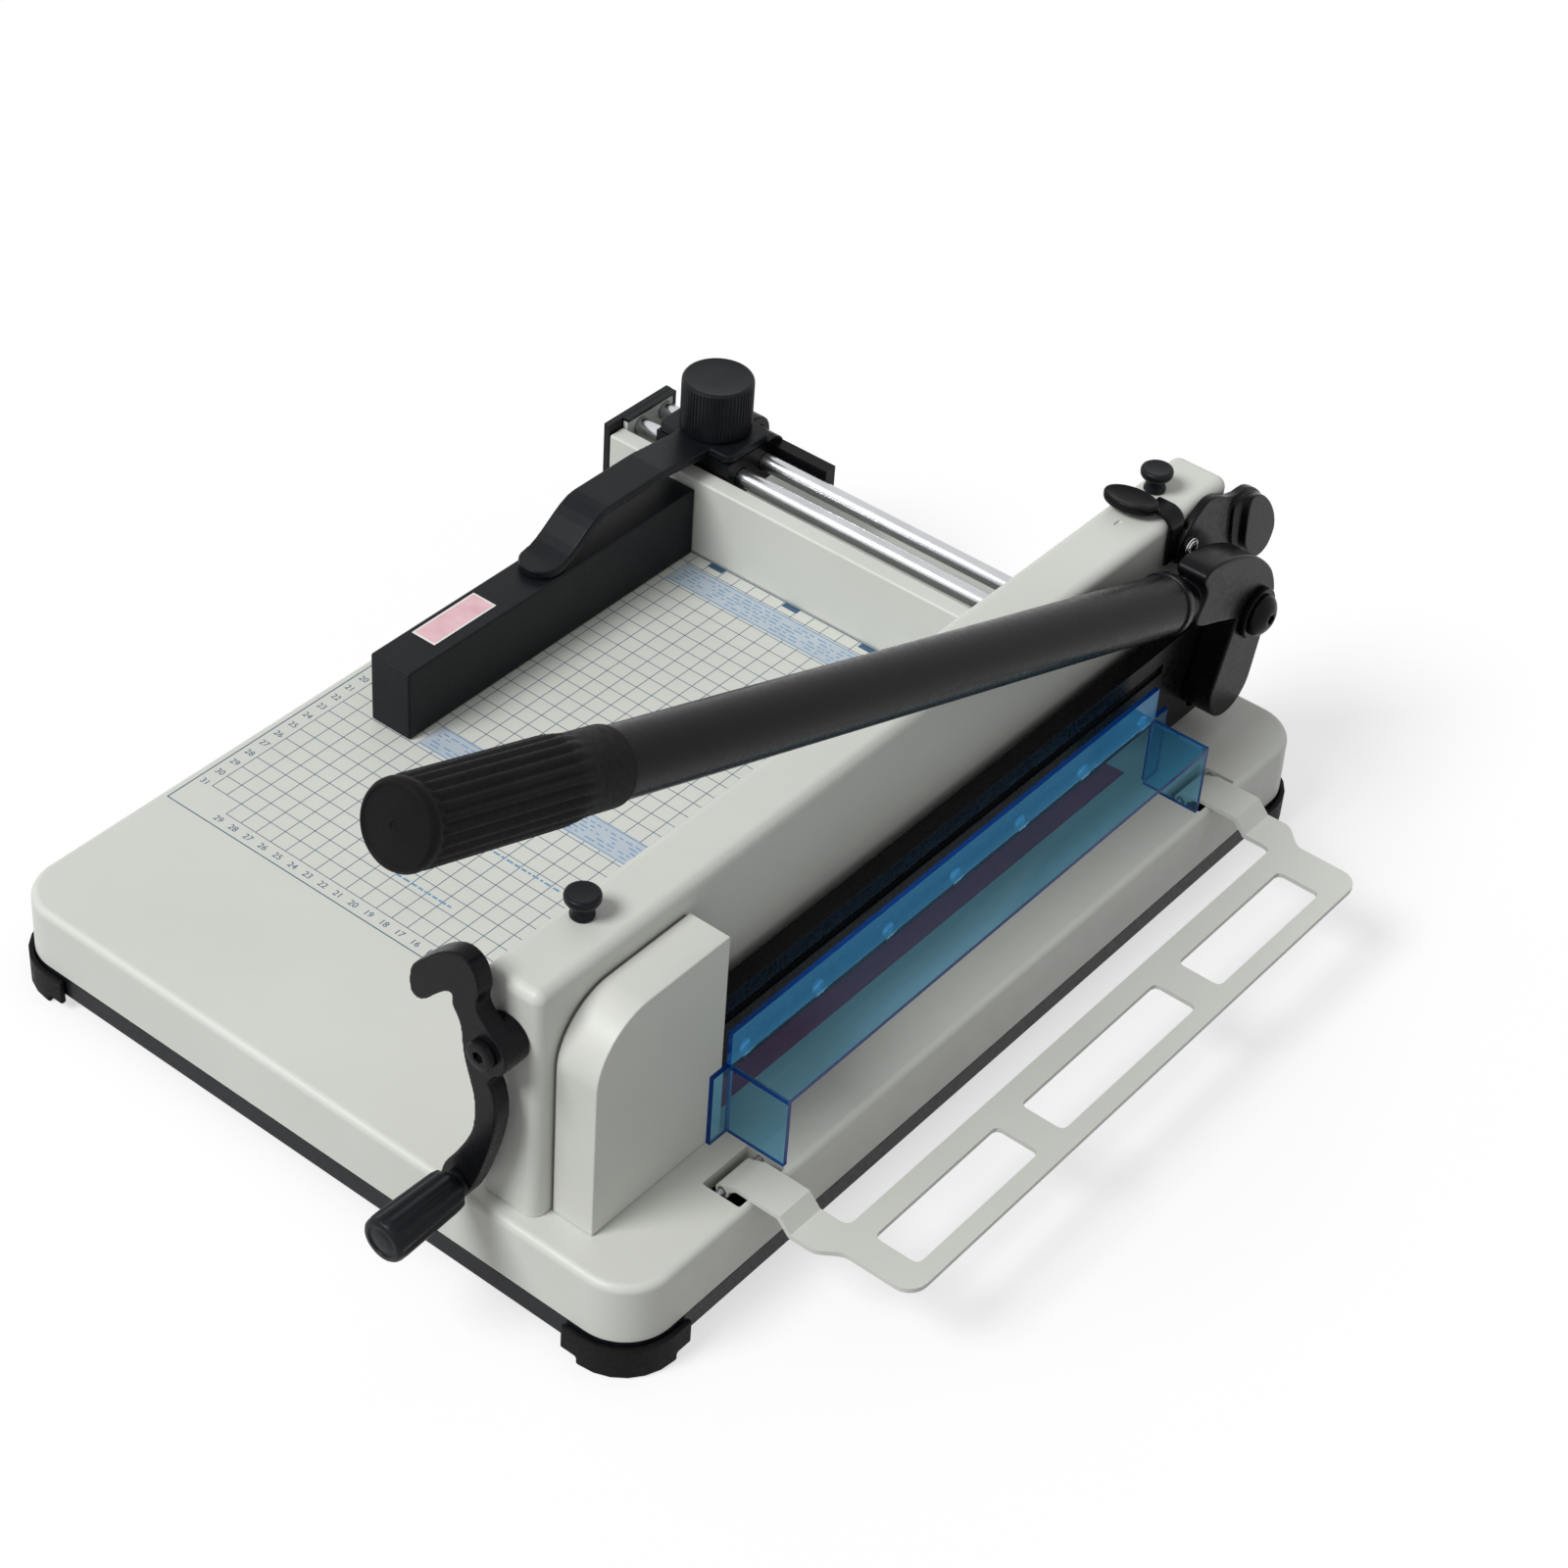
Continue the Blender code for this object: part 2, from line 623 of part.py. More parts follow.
def make_beam_housing():
    low = (BEAM_REAR_X, -BEAM_Y / 2, GAP)
    high = (BEAM_FRONT_X, BEAM_Y / 2, BEAM_H)
    rings = []
    corner = BEAM_EDGE_R
    for index in range(5):
        angle = math.radians(90 * index / 4)
        inset = corner * (1 - math.cos(angle))
        height = high[2] - corner + corner * math.sin(angle)
        rings.append((inset, height))
    rings.insert(0, (0, low[2]))

    def ring(inset, height, sheet=0.0):
        outline = rounded_box((low[0] + inset + sheet, low[1] + inset + sheet),
                              (high[0] - inset - sheet, high[1] - inset - sheet),
                              max(corner - inset - sheet, corner / 4), 3)
        return [Vector((a, b, height)) for a, b in outline]

    housing = add("beam_housing", loft([ring(inset, height) for inset, height in rings]), CREAM, TABLE)
    inside = [ring(0, low[2] - OVERRUN, BEAM_SHEET), ring(0, high[2] - corner, BEAM_SHEET),
              ring(corner / 2, high[2] - BEAM_SHEET, BEAM_SHEET)]
    cut(housing, loft(inside), "inside")
    window = block((low[0] - OVERRUN, PAPER_NEAR_Y, low[2] - OVERRUN),
                   (high[0] + OVERRUN, PAPER_FAR_Y, PAPER_H))
    cut(housing, window, "paper_gap")
    cut(housing, rod("Y", (BEAM_MID_X, CRANK_Z), CRANK_SHAFT_R + RUN_GAP, low[1] - OVERRUN,
                     low[1] + BEAM_SHEET + OVERRUN), "crank_hole")
    for label, knob_y in (("near", KNOB_NEAR_Y), ("far", KNOB_FAR_Y)):
        cut(housing, rod("Z", (KNOB_X, knob_y), KNOB_SCREW_R + RUN_GAP, high[2] - BEAM_SHEET - OVERRUN,
                         high[2] + OVERRUN, 20), "screw_hole_" + label)
    for label, pin_y in (("near", SLIDE_NEAR_Y), ("far", SLIDE_FAR_Y)):
        cut(housing, prism(slide_slot(pin_y, SLIDE_PIN_R + RUN_GAP), "X", high[0] - BEAM_SHEET - OVERRUN,
                           high[0] + OVERRUN), "slide_slot_" + label)
    cut(housing, rod("X", (PIVOT_Y, PIVOT_Z), PIVOT_R + GAP, high[0] - BEAM_SHEET - OVERRUN,
                     high[0] + OVERRUN), "pivot_hole")
    cut(housing, rod("X", (CATCH_Y, CATCH_Z), CATCH_PIN_R + GAP, high[0] - BEAM_SHEET - OVERRUN,
                     high[0] + OVERRUN), "catch_hole")
    smooth(housing)


def make_cheeks():
    """The steel frame blocks inside the beam's two legs."""
    x0 = BEAM_REAR_X + CHEEK_END_GAP
    x1 = BEAM_FRONT_X - CHEEK_END_GAP
    near_y0 = -BEAM_Y / 2 + CHEEK_END_GAP
    far_y1 = BEAM_Y / 2 - CHEEK_END_GAP
    corner = BEAM_EDGE_R - BEAM_SHEET
    near = add("near_frame_cheek", prism(rounded_box((x0, near_y0), (x1, CHEEK_NEAR_Y), corner), "Z", GAP,
                                         CHEEK_H),
               STEEL, TABLE)
    far = add("far_frame_cheek", prism(rounded_box((x0, CHEEK_FAR_Y), (x1, far_y1), corner), "Z", GAP,
                                       CHEEK_H),
              STEEL, TABLE)
    cut(near, rod("Y", (BEAM_MID_X, CRANK_Z), CRANK_SHAFT_R + RUN_GAP, near_y0 - OVERRUN,
                  CHEEK_NEAR_Y + OVERRUN), "crank_bearing")
    depth = BEAM_FRONT_X - SLIDE_DEPTH
    for target, pin_y in ((near, SLIDE_NEAR_Y), (far, SLIDE_FAR_Y)):
        cut(target, prism(slide_slot(pin_y, SLIDE_PIN_R + RUN_GAP), "X", depth, BEAM_FRONT_X + OVERRUN),
            "slideway")
    cut(far, rod("X", (PIVOT_Y, PIVOT_Z), PIVOT_R + GAP, BEAM_MID_X, BEAM_FRONT_X + OVERRUN), "pivot_bore")
    cut(far, rod("X", (CATCH_Y, CATCH_Z), CATCH_PIN_R + GAP, BEAM_MID_X, BEAM_FRONT_X + OVERRUN),
        "catch_bore")


def cover_outline(inset, far_extra):
    """The cover's side view: square at the back, a wide bend at its top near corner."""
    y0 = COVER_NEAR_Y + inset
    y1 = COVER_NEAR_Y + COVER_Y + far_extra
    top = COVER_H - inset
    radius = COVER_R - inset
    bend = arc((y0 + radius, top - radius), radius, 90, 180, 12)
    return [(y1, GAP), (y1, top)] + bend + [(y0, GAP)]


def make_end_cover():
    cover = add("end_cover", prism(cover_outline(0, 0), "X", COVER_BACK_X, COVER_FRONT_X), CREAM, TABLE)
    inner = [(a, b if b > GAP else -OVERRUN) for a, b in cover_outline(COVER_SHEET, OVERRUN)]
    cut(cover, prism(inner, "X", COVER_BACK_X - OVERRUN, COVER_FRONT_X - COVER_SHEET), "inside")
    smooth(cover)


# Blade group
def make_blade():
    top = BLADE_EDGE_Z + BLADE_H
    y1 = BLADE_NEAR_Y + BLADE_Y
    outline = ([(BLADE_NEAR_Y, BLADE_EDGE_Z), (y1, BLADE_EDGE_Z)]
               + arc((y1 - BLADE_END_R, top - BLADE_END_R), BLADE_END_R, 0, 90, 8)
               + arc((BLADE_NEAR_Y + BLADE_END_R, top - BLADE_END_R), BLADE_END_R, 90, 180, 8))
    blade = add("blade", prism(outline, "X", CUT_X, BLADE_FRONT_X), STEEL, CARRIER)
    run = BLADE_T - BLADE_EDGE_T
    low_x, low_z = CUT_X + BLADE_EDGE_T - run / 2, BLADE_EDGE_Z - BLADE_BEVEL_H / 2
    high_x, high_z = BLADE_FRONT_X + run / 2, BLADE_EDGE_Z + BLADE_BEVEL_H * 3 / 2
    bevel_cut = [(low_x, low_z), (high_x, high_z), (high_x + OVERRUN, high_z), (high_x + OVERRUN, low_z)]
    cut(blade, prism(bevel_cut, "Y", BLADE_NEAR_Y - OVERRUN, y1 + OVERRUN), "bevel")
    for number, hole_y in enumerate(hole_places()):
        cut(blade, rod("X", (hole_y, bolt_z()), BOLT_R + GAP, CUT_X - OVERRUN, BLADE_FRONT_X + OVERRUN, 12),
            "hole_%d" % number)


def hole_places():
    middle = BLADE_NEAR_Y + BLADE_Y / 2
    half = (BLADE_HOLE_COUNT - 1) / 2
    return [middle + (index - half) * BLADE_HOLE_PITCH for index in range(BLADE_HOLE_COUNT)]


def bolt_z():
    return BLADE_EDGE_Z + BLADE_H - BLADE_HOLE_DROP


def drive_pin_place():
    return PIVOT_Y + ARM_END_Y, PIVOT_Z + ARM_END_Z


def drive_slip():
    """How far the arm's pin leaves the carrier's straight path at mid stroke, as a (Y, Z) pair."""
    bulge = ARM_LENGTH * (1 - math.cos(LIFT_RAD / 2))
    return -bulge * math.sin(SLIDE_RAD), -bulge * math.cos(SLIDE_RAD)


def make_carrier():
    y0 = CARRIER_NEAR_Y
    low = CARRIER_LOW_Z
    top = CARRIER_TOP_Z
    corner = CARRIER_CORNER_R
    pin_y, pin_z = drive_pin_place()
    slip_y, slip_z = drive_slip()
    hole_r = DRIVE_PIN_R + DRIVE_PLAY
    foot = pin_z + slip_z - hole_r - CARRIER_FOOT
    end = pin_y + corner
    shy = (WASHER_R + CARRIER_FOOT) * math.sqrt(2)
    slope = PIVOT_Y + PIVOT_Z - shy
    outline = ([(y0, low), (end - CARRIER_END_Y, low), (end - CARRIER_END_Y + low - foot, foot)]
               + arc((end - corner, foot + corner), corner, -90, 0, 6)
               + [(end, slope - end), (slope - top, top)]
               + arc((y0 + corner, top - corner), corner, 90, 180, 6))
    carrier = add("blade_carrier", prism(outline, "X", CARRIER_BACK_X, CARRIER_FRONT_X), BLACK_CAST, CARRIER)
    groove = block((CARRIER_FRONT_X - CARRIER_GROOVE_T, y0 - OVERRUN, CARRIER_GROOVE_Z),
                   (CARRIER_FRONT_X + OVERRUN, end - CARRIER_END_Y, CARRIER_GROOVE_Z + CARRIER_GROOVE_H))
    cut(carrier, groove, "groove")
    for number, hole_y in enumerate(hole_places()):
        cut(carrier, rod("X", (hole_y, bolt_z()), BOLT_R + GAP, CARRIER_BACK_X - OVERRUN,
                         CARRIER_FRONT_X + OVERRUN, 12), "bolt_hole_%d" % number)
    slot = capsule((pin_y, pin_z), (pin_y + slip_y, pin_z + slip_z), hole_r)
    cut(carrier, prism(slot, "X", CARRIER_BACK_X - OVERRUN, CARRIER_FRONT_X + OVERRUN), "drive_slot")
    smooth(carrier)


def make_blade_bolts():
    for number, hole_y in enumerate(hole_places()):
        profile = [(CUT_X + GAP, BOLT_R), (CARRIER_FRONT_X + GAP, BOLT_R),
                   (CARRIER_FRONT_X + GAP, BOLT_HEAD_R),
                   (CARRIER_FRONT_X + GAP + BOLT_HEAD_H, BOLT_HEAD_R * BOLT_TIP_SHARE)]
        bolt = add("blade_bolt_%d" % (number + 1), turned(profile, "X", (hole_y, bolt_z()), 12), CHROME,
                   CARRIER)
        smooth(bolt)


def make_slide_pins():
    for label, pin_y in (("near", SLIDE_NEAR_Y), ("far", SLIDE_FAR_Y)):
        pin = add("slide_pin_" + label, rod("X", (pin_y, SLIDE_PIN_Z), SLIDE_PIN_R,
                                            BEAM_FRONT_X - SLIDE_DEPTH + RUN_GAP, CARRIER_BACK_X - GAP, 16),
                                            STEEL, CARRIER)
        smooth(pin)


# Lever
def along_lever(distance, rise=None):
    """A (Y, Z) place on the tube's axis, by its distance from the pivot."""
    rise = LEVER_RISE if rise is None else rise
    return (PIVOT_Y - distance * math.cos(LEVER_RAD) + rise * math.sin(LEVER_RAD),
            PIVOT_Z + distance * math.sin(LEVER_RAD) + rise * math.cos(LEVER_RAD))


def lever_turned(profile, count=24):
    """Revolves (distance, radius) pairs about the tube's axis."""
    rings = []
    for distance, radius in profile:
        y, z = along_lever(distance)
        ring = []
        for index in range(count):
            angle = 2 * math.pi * index / count
            up = radius * math.sin(angle)
            ring.append(Vector((LEVER_X + radius * math.cos(angle), y + up * math.sin(LEVER_RAD),
                                z + up * math.cos(LEVER_RAD))))
        rings.append(ring)
    return loft(rings)


HEAD_OUTLINE_SHARES = ((1.04, 0.04), (1.04, 0.31), (1.17, 0.45), (1.13, 0.52), (1.02, 0.565),
                       (0.77, 0.595), (0.48, 0.58), (0.23, 0.52), (-0.02, 0.405), (-0.16, 0.29), (-0.25, 0.17),
                       (-0.285, 0.05), (-0.27, -0.07), (-0.20, -0.18), (0.0, -0.26), (0.15, -0.16),
                       (0.29, -0.03), (0.60, 0.0))


def make_lever_head():
    outline = [along_lever(HEAD_SIZE * along, HEAD_SIZE * rise) for along, rise in HEAD_OUTLINE_SHARES]
    head = add("lever_head", prism(outline, "X", HEAD_BACK_X, HEAD_FRONT_X), BLACK_CAST, LEVER)
    lobe = (PIVOT_Y + ARM_END_Y, PIVOT_Z + ARM_LOBE_Z)
    arm = taper_capsule((PIVOT_Y, PIVOT_Z), ARM_TOP_R, lobe, ARM_R)
    join(head, prism(arm, "X", HEAD_BACK_X + GAP, HEAD_FRONT_X - GAP), "arm")
    join(head, lever_turned([(WASHER_R + RUN_GAP, NECK_R), (TUBE_START + NECK_INSERT, NECK_R)]), "neck")
    cut(head, rod("X", (PIVOT_Y, PIVOT_Z), PIVOT_R + RUN_GAP, LEVER_X - 2 * NECK_R,
                  HEAD_FRONT_X + OVERRUN), "pivot_bore")
    pin_y, pin_z = drive_pin_place()
    cut(head, rod("X", (pin_y, pin_z), DRIVE_PIN_R + GAP, HEAD_BACK_X - OVERRUN,
                  HEAD_FRONT_X - WASHER_T), "drive_bore")
    smooth(head)


def make_lever_tube():
    end = LEVER_REACH - GRIP_CAP_L
    tube = add("lever_tube", lever_turned([(TUBE_START, TUBE_R), (end - GAP, TUBE_R)]), BLACK_CAST, LEVER)
    cut(tube, lever_turned([(TUBE_START - OVERRUN, TUBE_R - TUBE_WALL), (end + OVERRUN, TUBE_R - TUBE_WALL)]),
        "bore")
    smooth(tube)
    collar = add("tube_collar", lever_turned([(TUBE_START - COLLAR_L, COLLAR_R - GAP),
                                              (TUBE_START - COLLAR_L / 2, COLLAR_R),
                                              (TUBE_START - GAP, COLLAR_R)]), BLACK_CAST, LEVER)
    cut(collar, lever_turned([(0, NECK_R + GAP), (TUBE_START + OVERRUN, NECK_R + GAP)]), "bore")
    smooth(collar)


def make_lever_grip():
    start = LEVER_REACH - GRIP_L
    nose = start + GRIP_L / 6
    shoulder = start + GRIP_L / 4
    end = LEVER_REACH
    count = 2 * GRIP_RIB_COUNT
    rings = []
    for distance, radius, rib in ((start, GRIP_NOSE_R, 0), (nose, GRIP_NOSE_R, 0), (shoulder, GRIP_R,
                                                                                    GRIP_RIB_H),
                                  (end - GRIP_CAP_L, GRIP_R, GRIP_RIB_H), (end - GRIP_CAP_L, GRIP_R, 0),
                                  (end - GRIP_CAP_L / 3, GRIP_R, 0), (end, GRIP_R - GRIP_CAP_L / 3, 0)):
        y, z = along_lever(distance)
        ring = []
        for index in range(count):
            angle = 2 * math.pi * index / count
            here = radius - (rib if index % 2 else 0)
            up = here * math.sin(angle)
            ring.append(Vector((LEVER_X + here * math.cos(angle), y + up * math.sin(LEVER_RAD),
                                z + up * math.cos(LEVER_RAD))))
        rings.append(ring)
    grip = add("lever_grip", loft(rings), RUBBER, LEVER)
    cut(grip, lever_turned([(start - OVERRUN, TUBE_R + GAP), (end - GRIP_CAP_L, TUBE_R + GAP)], count),
        "socket")
    smooth(grip, 25)


CAP_SHARES = ((0.0, 1.0), (0.25, 1.0), (0.55, 0.84), (0.8, 0.62), (1.0, 0.4))


def make_pivot_bolt():
    outer = HEAD_FRONT_X + GAP
    profile = [(BEAM_MID_X + RUN_GAP, PIVOT_R), (outer + WASHER_T + GAP, PIVOT_R)]
    for along, across in CAP_SHARES:
        profile.append((outer + WASHER_T + GAP + along * BOLT_CAP_T, across * BOLT_CAP_R))
    bolt = add("pivot_bolt", turned(profile, "X", (PIVOT_Y, PIVOT_Z), 20), BLACK_CAST, TABLE,
               (BEAM_MID_X, PIVOT_Y, PIVOT_Z))
    cut(bolt, rod("X", (PIVOT_Y, PIVOT_Z), BOLT_SOCKET_R, outer + WASHER_T + BOLT_CAP_T - BOLT_SOCKET_H,
                  outer + WASHER_T + BOLT_CAP_T + OVERRUN, 6), "socket")
    smooth(bolt)
    washer = add("pivot_washer", rod("X", (PIVOT_Y, PIVOT_Z), WASHER_R, outer, outer + WASHER_T), BLACK_CAST,
                 TABLE, (outer, PIVOT_Y, PIVOT_Z))
    cut(washer, rod("X", (PIVOT_Y, PIVOT_Z), PIVOT_R + GAP, outer - OVERRUN, outer + WASHER_T + OVERRUN),
        "hole")
    smooth(washer)
    bush = add("pivot_bush", rod("X", (PIVOT_Y, PIVOT_Z), WASHER_R, BEAM_FRONT_X + GAP, HEAD_BACK_X - GAP),
               STEEL, TABLE, (BEAM_FRONT_X, PIVOT_Y, PIVOT_Z))
    cut(bush, rod("X", (PIVOT_Y, PIVOT_Z), PIVOT_R + GAP, BEAM_FRONT_X - OVERRUN, HEAD_BACK_X + OVERRUN),
        "hole")
    smooth(bush)


def make_drive_pin():
    pin_y, pin_z = drive_pin_place()
    pin = add("drive_pin", rod("X", (pin_y, pin_z), DRIVE_PIN_R, CARRIER_BACK_X + GAP,
                               HEAD_FRONT_X - WASHER_T - GAP, 16), STEEL, LEVER)
    smooth(pin)


# Clamp
def involute(roll):
    """A point on the involute of a unit circle."""
    return math.cos(roll) + roll * math.sin(roll), math.sin(roll) - roll * math.cos(roll)


def gear_outline(centre, phase):
    """A spur gear with involute flanks; phase is a turn in teeth."""
    base_r = GEAR_R * math.cos(math.radians(PRESSURE_DEG))
    tip_r = GEAR_R + GEAR_MODULE * ADDENDUM_SHARE
    root_r = GEAR_R - GEAR_MODULE * DEDENDUM_SHARE
    pitch_roll = math.sqrt((GEAR_R / base_r) ** 2 - 1)
    px, py = involute(pitch_roll)
    pitch_angle = math.atan2(py, px)
    half_tooth = math.pi / (2 * GEAR_TEETH) * TOOTH_THIN_SHARE
    tip_roll = math.sqrt((tip_r / base_r) ** 2 - 1)
    flank = []
    for roll in (0, tip_roll):
        x, y = involute(roll)
        radius = base_r * math.hypot(x, y)
        angle = math.atan2(y, x) - pitch_angle - half_tooth
        flank.append((radius, angle))
    points = []
    for tooth in range(GEAR_TEETH):
        middle = 2 * math.pi * (tooth + phase) / GEAR_TEETH
        start = flank[0][1]
        side = [(root_r, start)] + flank
        for radius, angle in side:
            points.append((radius, middle + angle))
        for radius, angle in reversed(side):
            points.append((radius, middle - angle))
    return [(centre[0] + radius * math.cos(angle), centre[1] + radius * math.sin(angle))
            for radius, angle in points]


def rack_outline(pitch_x, mesh_z, low, high):
    """A toothed bar whose teeth point to -X, with a gap centred at the height mesh_z."""
    pitch = math.pi * GEAR_MODULE
    slope = math.tan(math.radians(PRESSURE_DEG))
    tip_x = pitch_x - GEAR_MODULE * ADDENDUM_SHARE
    root_x = pitch_x + GEAR_MODULE
    half = pitch / 4 * TOOTH_THIN_SHARE
    outline = [(root_x + RACK_BODY_X, low), (root_x + RACK_BODY_X, high), (root_x, high)]
    count = int((high - mesh_z) / pitch)
    lowest = int((mesh_z - low) / pitch)
    for index in range(count - 1, -lowest - 1, -1):
        middle = mesh_z + (index + 1 / 2) * pitch
        at_root = half + (root_x - pitch_x) * slope
        at_tip = half - (pitch_x - tip_x) * slope
        outline += [(root_x, middle + at_root), (tip_x, middle + at_tip), (tip_x, middle - at_tip),
                    (root_x, middle - at_root)]
    outline.append((root_x, low))
    return outline


def make_crank_shaft():
    near = -BEAM_Y / 2 - HUB_L
    shaft = add("crank_shaft", rod("Y", (BEAM_MID_X, CRANK_Z), CRANK_SHAFT_R, near - CRANK_PLATE_T / 2,
                                   GEAR_Y + GEAR_FACE / 2, 16), STEEL, CRANK)
    gear = gear_outline((BEAM_MID_X, CRANK_Z), 0)
    join(shaft, prism(gear, "Y", GEAR_Y, GEAR_Y + GEAR_FACE), "gear")
    smooth(shaft)


def make_idler():
    gear = gear_outline((BEAM_MID_X, IDLER_Z), 1 / 2)
    idler = add("idler_gear", prism(gear, "Y", GEAR_Y, GEAR_Y + GEAR_FACE), STEEL, IDLER)
    cut(idler, rod("Y", (BEAM_MID_X, IDLER_Z), CRANK_PIN_R + RUN_GAP, GEAR_Y - OVERRUN,
                   GEAR_Y + GEAR_FACE + OVERRUN, 16), "bore")
    pin = add("idler_pin", rod("Y", (BEAM_MID_X, IDLER_Z), CRANK_PIN_R, GEAR_Y - BEARING_L,
                               GEAR_Y + GEAR_FACE, 16), STEEL, TABLE, (BEAM_MID_X, GEAR_Y, IDLER_Z))
    smooth(pin)
    cheek = bpy.data.objects["near_frame_cheek"]
    cut(cheek, rod("Y", (BEAM_MID_X, IDLER_Z), CRANK_PIN_R + GAP, GEAR_Y - BEARING_L - GAP,
                   GEAR_Y + OVERRUN, 16), "idler_bore")


def make_pinion_shaft():
    start = GEAR_Y - BEARING_L
    end = CHEEK_FAR_Y + BEARING_L
    centre = (BEAM_MID_X, PINION_Z)
    shaft = add("pinion_shaft", rod("Y", centre, CRANK_SHAFT_R, start, end, 16), STEEL, PINION)
    gear = gear_outline(centre, 0)
    join(shaft, prism(gear, "Y", GEAR_Y, GEAR_Y + GEAR_FACE), "drive_gear")
    for label, middle in (("near", PINION_NEAR_Y), ("far", PINION_FAR_Y)):
        join(shaft, prism(gear, "Y", middle - GEAR_FACE / 2, middle + GEAR_FACE / 2), "pinion_" + label)
    smooth(shaft)
    for name, low, high in (("near_frame_cheek", start - GAP, GEAR_Y + OVERRUN),
                            ("far_frame_cheek", end - BEARING_L - OVERRUN, end + GAP)):
        cut(bpy.data.objects[name], rod("Y", centre, CRANK_SHAFT_R + RUN_GAP, low, high, 16),
            "pinion_bearing")


def make_press_plate():
    x0 = BEAM_MID_X - PLATE_X / 2
    x1 = BEAM_MID_X + PLATE_X / 2
    top = PLATE_LIFT + PLATE_T
    plate = add("press_plate", block((x0, -PLATE_Y / 2, PLATE_LIFT), (x1, PLATE_Y / 2, top)), BLACK_CAST,
                PRESS)
    high = PINION_Z + CLAMP_TRAVEL + RACK_SPARE
    for label, middle in (("near", PINION_NEAR_Y), ("far", PINION_FAR_Y)):
        outline = rack_outline(RACK_PITCH_X, PINION_Z, top + GAP, high)
        rack = add("press_rack_" + label,
                   prism(outline, "Y", middle - GEAR_FACE / 2 + RUN_GAP, middle + GEAR_FACE / 2 - RUN_GAP),
                   STEEL, PRESS)
        smooth(rack, 20)


def crank_point(share_x, share_z):
    """A place on the crank plate, in shares of its reach below or above the hub."""
    reach = math.hypot(CRANK_REACH_X, CRANK_REACH_Z)
    return BEAM_MID_X + share_x * reach, CRANK_Z + share_z * reach


LOWER_ARM_SHARES = ((-0.135, -0.094), (-0.097, -0.232), (-0.068, -0.344), (-0.068, -0.511), (-0.103, -0.636),
                    (-0.184, -0.795), (-0.256, -0.915), (-0.283, -1.003), (-0.26, -1.07), (-0.20, -1.10),
                    (-0.135, -1.09), (-0.052, -0.921), (0.042, -0.615), (0.078, -0.389), (0.057, -0.244),
                    (0.03, -0.178), (0.09, -0.08))
UPPER_ARM_SHARES = ((0.09, 0.08), (-0.044, 0.244), (-0.036, 0.375), (-0.077, 0.49), (-0.17, 0.525),
                    (-0.279, 0.472), (-0.405, 0.346), (-0.47, 0.26), (-0.483, 0.162), (-0.468, 0.092),
                    (-0.398, 0.089), (-0.276, 0.215), (-0.213, 0.246), (-0.207, 0.18), (-0.157, 0.085))


def make_crank():
    back = -BEAM_Y / 2 - HUB_L
    front = back - CRANK_PLATE_T
    outline = [crank_point(a, b) for a, b in LOWER_ARM_SHARES + UPPER_ARM_SHARES]
    crank = add("crank_arm", prism(outline, "Y", front, back), BLACK_PLASTIC, CRANK)
    hub = turned([(-BEAM_Y / 2 - GAP, HUB_R), (front, HUB_R), (front - GAP, HUB_R - CRANK_PIN_R)], "Y",
                 (BEAM_MID_X, CRANK_Z))
    join(crank, hub, "hub")
    cut(crank, rod("Y", (BEAM_MID_X, CRANK_Z), CRANK_SHAFT_R + GAP, back - CRANK_PLATE_T / 2 - GAP,
                   OVERRUN - BEAM_Y / 2, 16), "shaft_bore")
    cut(crank, rod("Y", grip_centre(), CRANK_PIN_R + GAP, front - OVERRUN, back - CRANK_PIN_R, 20),
        "grip_bore")
    smooth(crank)
    screw_front = front - GAP - CRANK_SCREW_H
    screw = add("crank_screw", turned([(front - 2 * GAP, CRANK_SCREW_R), (screw_front + GAP, CRANK_SCREW_R),
                                       (screw_front, CRANK_SCREW_R - CRANK_PIN_R / 2)], "Y",
                                      (BEAM_MID_X, CRANK_Z)), BLACK_CAST, CRANK)
    cut(screw, rod("Y", (BEAM_MID_X, CRANK_Z), CRANK_PIN_R, screw_front - OVERRUN,
                   screw_front + CRANK_SCREW_H / 2, 6), "hex")
    smooth(screw)


def grip_centre():
    return BEAM_MID_X + CRANK_REACH_X, CRANK_Z + CRANK_REACH_Z


